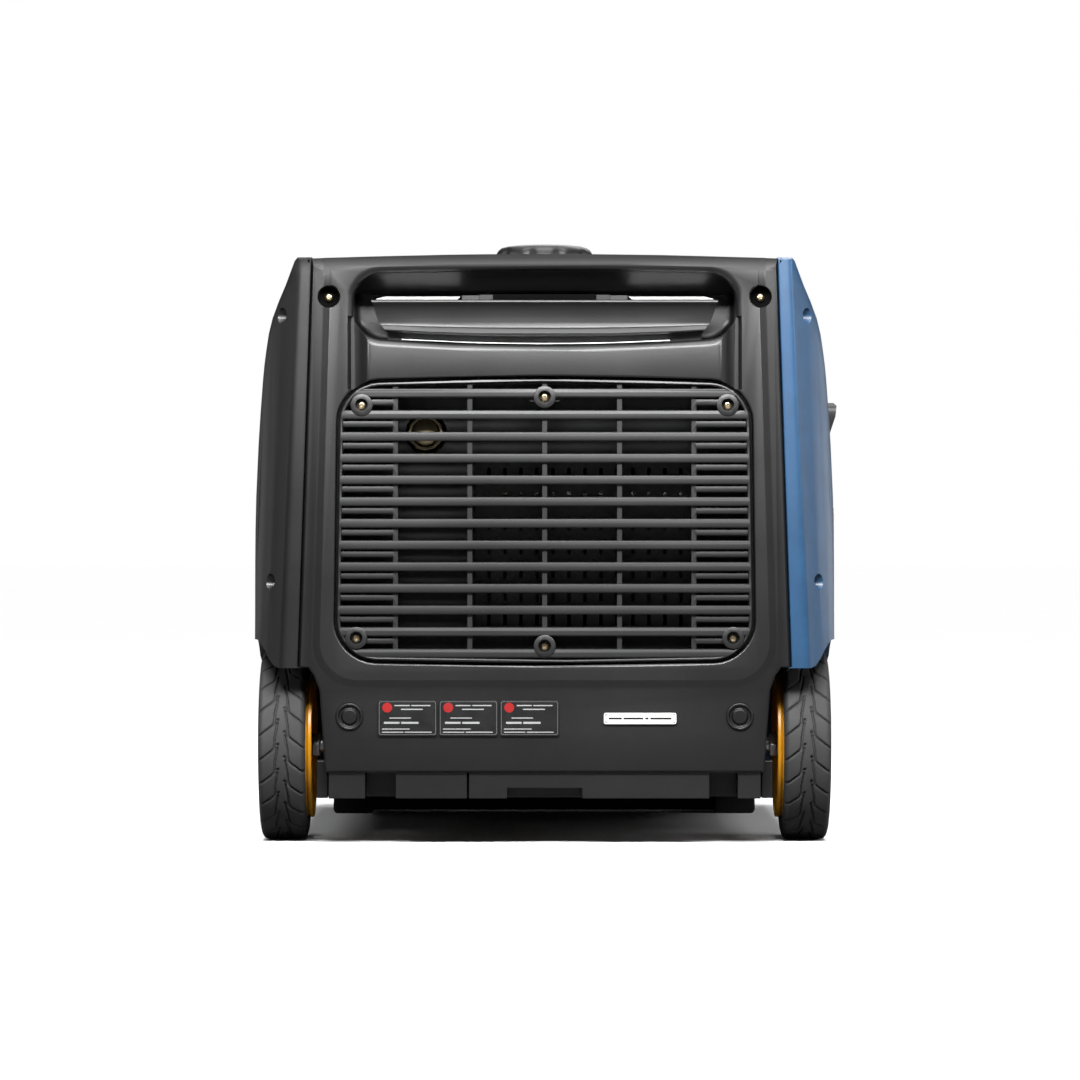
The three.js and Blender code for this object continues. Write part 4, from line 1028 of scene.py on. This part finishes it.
def tyre(side, label):
    across = [TREAD_HALF * (2 * i / 56 - 1) for i in range(57)]
    depths = {}
    for step in range(PITCH_STEPS):
        for x in across:
            shift = 0.0 if x > 0 else 0.5
            depths[step, x] = tread_depth(TREAD_HALF - abs(x), step / PITCH_STEPS + shift)
    rings = []
    steps = round(360 / TREAD_PITCH) * PITCH_STEPS
    for i in range(steps):
        angle = 2 * math.pi * i / steps
        ring = []
        for x in across:
            shoulder = max(0.0, (abs(x) - 14.0) / (TREAD_HALF - 14.0))
            crown = WHEEL_RADIUS - 0.35 * (x / 14.0) ** 2 - 2.6 * shoulder ** 2.4
            ring.append((x, crown - depths[i % PITCH_STEPS, x]))
        ring += TYRE_WALL + mirrored(-1, TYRE_WALL)
        rings.append([(side * WHEEL_X + x, WHEEL_Y + r * math.sin(angle), WHEEL_RADIUS + r * math.cos(angle))
                      for x, r in ring])
    body = loft(f"tyre_{label}_finished", rings, loop=True)
    show(body, "tyre_rubber", replaces=f"tyre_{label}", bevel=0, angle=50, clean=False, body=f"wheel_{label}")


def on_wheel(radius, angle, off=0.0):
    """A point beside the spoke at angle, in Y and Z."""
    return (WHEEL_Y + radius * math.cos(angle) - off * math.sin(angle),
            WHEEL_RADIUS + radius * math.sin(angle) + off * math.cos(angle))


def spoke_rib(angle):
    rings = []
    for r, back in ((16.0, -17.0), (53.0, -9.0)):
        section = ((back, -1.5), (4.5, -1.9), (4.5, 1.9), (back, 1.5))
        rings.append([(x, *on_wheel(r, angle, off)) for x, off in section])
    return loft("spoke", rings)


def wheel_window(mid):
    """The opening between two spokes."""
    outline = [on_wheel(45.5, mid + math.radians(spread)) for spread in (-19, 0, 19)]
    outline += [on_wheel(27.0, mid + math.radians(spread)) for spread in (13, -13)]
    return prism("window", rounded(outline, [4.0, 20.0, 4.0, 3.0, 3.0], 5), -2, 16, "X")


def wheel(side, label):
    tyre(side, label)

    def ring_piece(name, profile, count, closed=True):
        return turned(name, profile, WHEEL_CENTRE, "X", count, closed)

    rim = ring_piece(f"wheel_rim_{label}_finished", [
        (57.6, -23.2), (58.3, -22.6), (58.3, -20.6), (56.6, -19.0), (58.5, -16.2), (58.5, 16.2), (56.6, 17.4),
        (58.3, 18.3), (58.0, 18.9), (54.6, 18.9), (53.2, 17.8), (52.2, 13.5), (51.6, 9.0), (51.6, -15.0),
        (53.4, -21.4), (54.8, -23.2)], 96)
    disc = ring_piece("disc", [
        (53, 3.0), (53, 8.0), (46, 8.6), (24, 12.6), (18, 13.0), (18, 5.0), (24, 4.6), (46, 2.6)], 96)
    hub = ring_piece("hub", [
        (6.7, -20.0), (15.4, -20.0), (16.6, -18.8), (19.2, 4.0), (19.2, 13.4), (17.6, 15.2), (6.7, 15.2)], 64)
    joined(rim, disc, hub, *[spoke_rib(math.radians(60 * k)) for k in range(6)])
    cut(rim, *[wheel_window(math.radians(60 * k + 30)) for k in range(6)])
    cap = ring_piece(f"hub_cap_{label}", [
        (1e-3, 13), (12.5, 13), (12.5, 17.2), (11.2, 18.6), (8.6, 19.0), (7.6, 18.4), (1e-3, 18.4)],
        40, closed=False)
    washer = ring_piece(f"hub_washer_{label}", [(6.5, -20.1), (10.8, -20.1), (10.8, -21.6), (6.5, -21.6)], 40)
    nut = ring_piece(f"axle_nut_{label}", [
        (6.4, -21.7), (9.6, -21.7), (10.2, -22.3), (10.2, -27.2), (9.6, -27.8), (6.4, -27.8)], 6)
    for piece in (rim, cap, washer, nut):
        set_out(piece, side, WHEEL_X)
    turning = f"wheel_{label}"
    show(rim, "accent_orange", replaces=f"wheel_rim_{label}", angle=34, body=turning)
    show(cap, "soft_rubber", bevel=0.2, body=turning)
    show(washer, "steel", bevel=0.2)
    show(nut, "steel", bevel=0.3)


for side, label in SIDES:
    wheel(side, label)
refined("wheel_axle", 0.5)

# ---- Underside -------------------------------------------------------------------------------
refined("base_tray", 1.2, material=BLACK)
refined("front_foot_left", 1.5)
refined("front_foot_right", 1.5)
foot_low, foot_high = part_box("front_foot_left")
inner_x = (foot_high.x - HOUSING_X) / MM
mid_y = (foot_low.y + foot_high.y) / 2 / MM
# A dark rubber block between the far feet, almost down to the floor: painted shade, for the shadow under the
# far end.
shade_block = box("front_foot_shade_block", inner_x - 3, -inner_x + 3, mid_y - 5, mid_y + 5, 1.5, 40)
show(shade_block, "soft_rubber", bevel=1.0)

# ---- Tow handle end: built at -Y, then turned to face +Y -------------------------------------
TUBE_X, HANDLE_Z = 150, 425
INTAKES_Z = range(165, 360, 26)


def flipped(obj):
    for v in obj.data.vertices:
        v.co.y = -v.co.y
    obj.data.flip_normals()
    return obj


def front_panel():
    body = end_blank("front_end_panel_finished")
    joined(body, prism("wall", rounded_rect(-172, 172, 394.5, 458, 19), FACE + 3, -247.6))
    holes = [stack("pocket", frame_shape(-168, 168, 399, 453, 17, 8), pocket_levels(-252, 5.0, 5.0))]
    for side, _ in SIDES:
        holes.append(drum("tube_hole", 8.9, -260, -235, (side * TUBE_X, HANDLE_Z), count=40))
    slot_levels = [(FACE - 2, 2.0), (FACE, 2.0), (FACE + 0.6, 1.0), (FACE + 2, 0), (FACE + 20, 0)]
    blades = []
    for z in INTAKES_Z:
        holes.append(stack("slot", frame_shape(-150, 150, z, z + 14, 6), slot_levels))
        section = [(4.5, z - 3), (6.0, z - 3.6), (19, z + 16.5), (17.5, z + 17.4)]
        blades.append(bar_along_x("blade", 154, [(FACE + y, z1) for y, z1 in section]))
        for x in range(-100, 101, 50):
            blades.append(box("rib", x - 1.5, x + 1.5, FACE + 3, FACE + 14, z - 2, z + 16))
    cut(body, *holes)
    show(flipped(merged("intake_louvres", blades)), "trim_black", bevel=0.3)
    show(flipped(body), "housing_black", replaces="front_end_panel", bevel=0.6, angle=38)
    for side, label in SIDES:
        ring = turned(f"tube_bezel_{label}", [(8.9, 0), (12.4, 0), (12.0, -1.5), (9.6, -1.9), (8.9, -1.4)],
                      (side * TUBE_X, -252.05, HANDLE_Z), "Y", 40, closed=True)
        show(flipped(ring), "trim_black", bevel=0.2)


def tow_handle():
    corner = [(TUBE_X, 270.5), (148.8, 277), (145, 281.5), (139, 284)]
    path = [(-TUBE_X, -50)] + [(-x, y) for x, y in corner] + corner[::-1] + [(TUBE_X, 0), (TUBE_X, -50)]
    points = [Vector((x, y, HANDLE_Z)) for x, y in path]
    turns = [2 * math.pi * k / 28 for k in range(28)]
    rings = []
    for i, here in enumerate(points):
        ahead = points[min(i + 1, len(points) - 1)] - points[max(i - 1, 0)]
        ahead.normalize()
        out = Vector((ahead.y, -ahead.x, 0))
        rings.append([tuple(here + out * 8 * math.cos(a) + Vector((0, 0, 8 * math.sin(a)))) for a in turns])
    tube = loft("tow_handle_frame_finished", rings)
    show(tube, "steel", replaces="tow_handle_frame", bevel=0.4, angle=40, body="tow_handle")
    waves = [12.7 if k % 2 else 11.9 for k in range(43)]
    waves[:2] = waves[-2:] = [13.0, 13.0]
    profile = [(8.1, -105)] + [(radius, -105 + 5 * k) for k, radius in enumerate(waves)] + [(8.1, 105)]
    grip = turned("tow_handle_grip_finished", profile, (0, 284, HANDLE_Z), "X", 40, closed=True)
    show(grip, "soft_rubber", replaces="tow_handle_grip", angle=50, body="tow_handle")


front_panel()
tow_handle()
refined("tow_handle_guide_left", 0.8)
refined("tow_handle_guide_right", 0.8)

# ---- Controls: X is out of the panel, pieces are placed by Y and Z ---------------------------
PANEL_FACE = 220.6
COVER_HINGE = (224.0, 276.0)      # the covers' joint axis, in X and Z
DIAL_Z = 247
refined("control_panel", 1.0, material=TRIM)
for label, y in (("small", -86), ("large", 98)):
    refined(f"outlet_{label}", 0.6, material=TRIM)
    cover = f"outlet_cover_{label}"
    lid = prism(cover + "_finished", rounded_rect(y - 27, y + 27, 224, 276, 6), 224.05, 226.2, "X")
    joined(lid, prism("raised", rounded_rect(y - 21, y + 21, 231, 270, 5), 226, 227, "X"))
    show(lid, "soft_rubber", replaces=cover, segments=3, angle=30, body=cover)
    hinge = drum(f"outlet_hinge_{label}", 2.4, y - 20, y + 20, COVER_HINGE, "Y", count=36)
    show(hinge, "steel", bevel=0.2, body=cover)


def dial():
    skirt = turned("engine_dial_finished", [(1e-3, 224.4), (23.8, 224.4), (24.0, 226.0), (23.2, 229.2),
                                            (20.8, 230.6), (1e-3, 230.6)], (0, 0, DIAL_Z), "X", 64)
    finger = prism("finger", rounded_rect(-5.2, 5.2, 225.5, 268.5, 5.0), 229, 246, "X")
    joined(skirt, finger, drum("spindle", 6, 205.5, 226, (0, DIAL_Z), "X", count=24))
    show(skirt, "accent_orange", replaces="engine_dial", bevel=0.8, segments=3, angle=34, body="engine_dial")
    show(box("dial_mark", 245.9, 246.0, -0.8, 0.8, 256, 267), "label_white", bevel=0, body="engine_dial")


dial()
refined("start_button", 0.8)
refined("breaker_button_ac", material=TRIM)
refined("breaker_button_dc", material=TRIM)
refined("eco_rocker", 0.5, material=BLACK)

for name, y, z, inner, outer, slot in (
        ("start_bezel", -92, 345, 14.0, 16.6, "steel"),
        ("breaker_bezel_ac", 62, 300, 10.0, 12.2, "trim_black"),
        ("breaker_bezel_dc", 84, 300, 10.0, 12.2, "trim_black")):
    profile = [(inner, 0), (inner, 2.0), (inner + 0.8, 2.7), (outer - 0.6, 2.4), (outer, 1.6), (outer, 0)]
    show(turned(name, profile, (PANEL_FACE, y, z), "X", closed=True), slot, bevel=0.15)

section = [(0, -0.1), (2.0, -0.1), (2.6, 0.8), (2.6, 2.4), (1.8, 3.0), (0, 3.0)]
levels = [(PANEL_FACE + d, grow) for d, grow in section]
rim = stack("display_frame", frame_shape(66, 122, 330, 362, 4), levels, "X", loop=True)
show(rim, "trim_black", bevel=0.15)
glass = prism("display_glass", rounded_rect(66.1, 121.9, 330.1, 361.9, 3.8), PANEL_FACE, 221.8, "X")
show(glass, "trim_black", DISPLAY, bevel=0.2)
LAMP = [(1e-3, 0), (2.6, 0), (2.4, 1.6), (1.5, 2.2), (1e-3, 2.4)]
for i, (y, material) in enumerate(((-20, GREEN), (-8, ORANGE), (4, RED))):
    lamp = turned(f"status_lamp_{i + 1}", LAMP, (PANEL_FACE, y, 366), "X", 24)
    show(lamp, "label_red", material, bevel=0)


def panel_marks():
    """Ticks round the dial and plain lines beside the controls."""
    marks = []
    for i in range(7):
        angle = math.radians(45 + 15 * i)
        y0, z0 = math.cos(angle), math.sin(angle)
        reach = 31.5 if i % 3 == 0 else 29.5
        quad = [(27.5, -0.5), (reach, -0.5), (reach, 0.5), (27.5, 0.5)]
        outline = [(r * y0 - off * z0, DIAL_Z + r * z0 + off * y0) for r, off in quad]
        marks.append(prism("tick", outline, 220.9, 221.3, "X"))
    for y0, y1, z in ((-112, -60, 287), (72, 124, 287), (-108, -76, 323), (50, 96, 283), (-26, 26, 211)):
        marks.append(prism("line", rounded_rect(y0, y1, z, z + 0.9, 0.4, 2), 220.9, 221.3, "X"))
    show(merged("panel_marks", marks), "label_white", bevel=0)


panel_marks()
refined("recoil_grip", 1.4, angle=28, material=TRIM)
refined("starter_rope_lead", 0)
refined("service_door_latch", material=TRIM)

# ---- Engine bay ------------------------------------------------------------------------------
# The shield's grey is lighter than its steel: painted light, for the light that hardly reaches it behind the
# grille.
SHIELD_PAINTED_LIGHT = moulded_plastic("shield_painted_light", (0.045, 0.045, 0.046), (0.5, 0.65), 0.6, 0.4, 0.2)
# The tabs are bent from the same sheet but wear a much lighter grey: a painted highlight, for the light they
# catch.
TAB_PAINTED_HIGHLIGHT = moulded_plastic("shield_tabs_painted_highlight", (0.26, 0.27, 0.27), (0.4, 0.5), 0.3, dust=0.1)
MUFFLER = metal("muffler_steel", (0.10, 0.095, 0.09), (0.45, 0.6), stain=(0.07, 0.05, 0.035))
SLOT_ROWS, SLOT_COLUMNS, SLOT_TALL = 7, 13, 12


def heat_shield():
    """A thin box with rows of upright slots, each with a bent tab beside it."""
    shield = box("muffler_heat_shield_finished", -55, 123, -278, -266, 167, 305)
    cut(shield, box("back", -54.0, 122.0, -276.8, -260, 168.2, 303.8))
    slots, tabs = [], []
    for row in range(SLOT_ROWS):
        z = 172.5 + 19.0 * row
        for column in range(SLOT_COLUMNS):
            x = -42.2 + 12.7 * column
            slots.append(prism("slot", rounded_rect(x - 3.4, x - 0.6, z, z + SLOT_TALL, 1.3, 3), -279, -275))
            section = [(x - 0.6, -276.8), (x + 1.6, -276.9), (x + 1.6, -277.9), (x - 0.6, -277.9)]
            tabs.append(prism("tab", section, z, z + SLOT_TALL, "Z"))
    cut(shield, merged("slots", slots))
    show(shield, "hot_steel", SHIELD_PAINTED_LIGHT, "muffler_heat_shield", bevel=0.4, angle=34)
    show(merged("heat_shield_tabs", tabs), "hot_steel", TAB_PAINTED_HIGHLIGHT, bevel=0.15)


heat_shield()
refined("muffler", 1.0, material=MUFFLER)
refined("exhaust_outlet", material=OUTLET)
dome = turned("outlet_screen", [(1e-3, -281.3), (6.0, -280.6), (10.4, -278.2), (11.6, -275.0), (11.6, -273.0),
                                (1e-3, -273.0)], (-94.5, 0, 326), "Y", 40)
show(dome, "hot_steel", OUTLET, bevel=0.2)
for node in (
    "recoil_housing", "recoil_pulley", "starter_rope_coil", "engine_crankcase", "engine_cylinder",
    "cylinder_head", "spark_plug", "crankshaft", "alternator_stator", "flywheel_rotor", "cooling_fan",
    "engine_mount_front", "engine_mount_rear", "air_filter_box", "carburettor", "inverter_module",
    "battery", "fuel_tank", "fuel_filler_neck",
):
    refined(node, 0.7, angle=33)
refined("exhaust_shroud", 0.8, material=TRIM)


# ---- Light and stage -------------------------------------------------------------------------
def area(name, location, target, size, energy, size_y=None):
    data = bpy.data.lights.new(name, "AREA")
    data.energy, data.size = energy, size
    if size_y:
        data.shape, data.size_y = "RECTANGLE", size_y
    light = added(bpy.data.objects.new(name, data))
    light.location = location
    light.rotation_euler = (Vector(target) - Vector(location)).to_track_quat("-Z", "Y").to_euler()
    light.visible_camera = False


area("key_soft", (0.0, -0.98, 0.80), (0, -0.3, 0.40), 0.95, 28, 0.2)
area("top_soft", (0.0, 0.1, 1.5), (0, 0, 0.4), 1.2, 6)
area("rear_soft", (0.3, 1.5, 1.5), (0, 0.2, 0.3), 1.4, 14, 0.8)
area("left_soft", (-1.7, -0.2, 1.2), (0, 0, 0.25), 1.2, 9, 0.7)
area("right_soft", (1.7, -0.4, 0.9), (0, -0.1, 0.25), 1.2, 12, 0.8)
area("left_rim", (-2.3, 2.0, 0.35), (0, 0, 0.15), 1.6, 1.6, 0.7)
area("right_rim", (2.3, 2.0, 0.35), (0, 0, 0.15), 1.6, 6.5, 0.7)

sun_data = bpy.data.lights.new("overhead", "SUN")
sun_data.energy, sun_data.angle = 3.3, math.radians(50)
sun = added(bpy.data.objects.new("overhead", sun_data))
sun.rotation_euler = (math.radians(13), 0, 0)


def by_camera_ray(tree, seen, lit, output):
    """The camera sees one shader; every other ray meets the other."""
    path = tree.nodes.new("ShaderNodeLightPath")
    mix = tree.nodes.new("ShaderNodeMixShader")
    tree.links.new(path.outputs["Is Camera Ray"], mix.inputs[0])
    tree.links.new(lit.outputs[0], mix.inputs[1])
    tree.links.new(seen.outputs[0], mix.inputs[2])
    tree.links.new(mix.outputs[0], tree.nodes[output].inputs["Surface"])


world = bpy.data.worlds.new("studio")
bpy.context.scene.world = world
world.use_nodes = True
tree = world.node_tree
backdrop, lighting = tree.nodes["Background"], tree.nodes.new("ShaderNodeBackground")
for shader, strength in ((backdrop, 1.0), (lighting, 0.04)):
    shader.inputs["Color"].default_value = (1, 1, 1, 1)
    shader.inputs["Strength"].default_value = strength
by_camera_ray(tree, backdrop, lighting, "World Output")
bpy.context.scene.view_settings.view_transform = "Standard"

REACH = 40.0
floor_mesh = bpy.data.meshes.new("floor")
corners = [(-REACH, -REACH, 0), (REACH, -REACH, 0), (REACH, REACH, 0), (-REACH, REACH, 0)]
floor_mesh.from_pydata(corners, [], [(0, 1, 2, 3)])
floor = added(bpy.data.objects.new("floor", floor_mesh))
pale = Nodes("floor_paint")
pale.set(Roughness=0.9, Specular_IOR_Level=0.1)
pale.link(pale.ramp(pale.noise(3, 4), 0.965, 0.975), "Base Color")
bounce = pale.add("BsdfDiffuse", Color=(0.12, 0.12, 0.12, 1))
by_camera_ray(pale.tree, pale.shader, bounce, "Material Output")
floor_mesh.materials.append(pale.material)
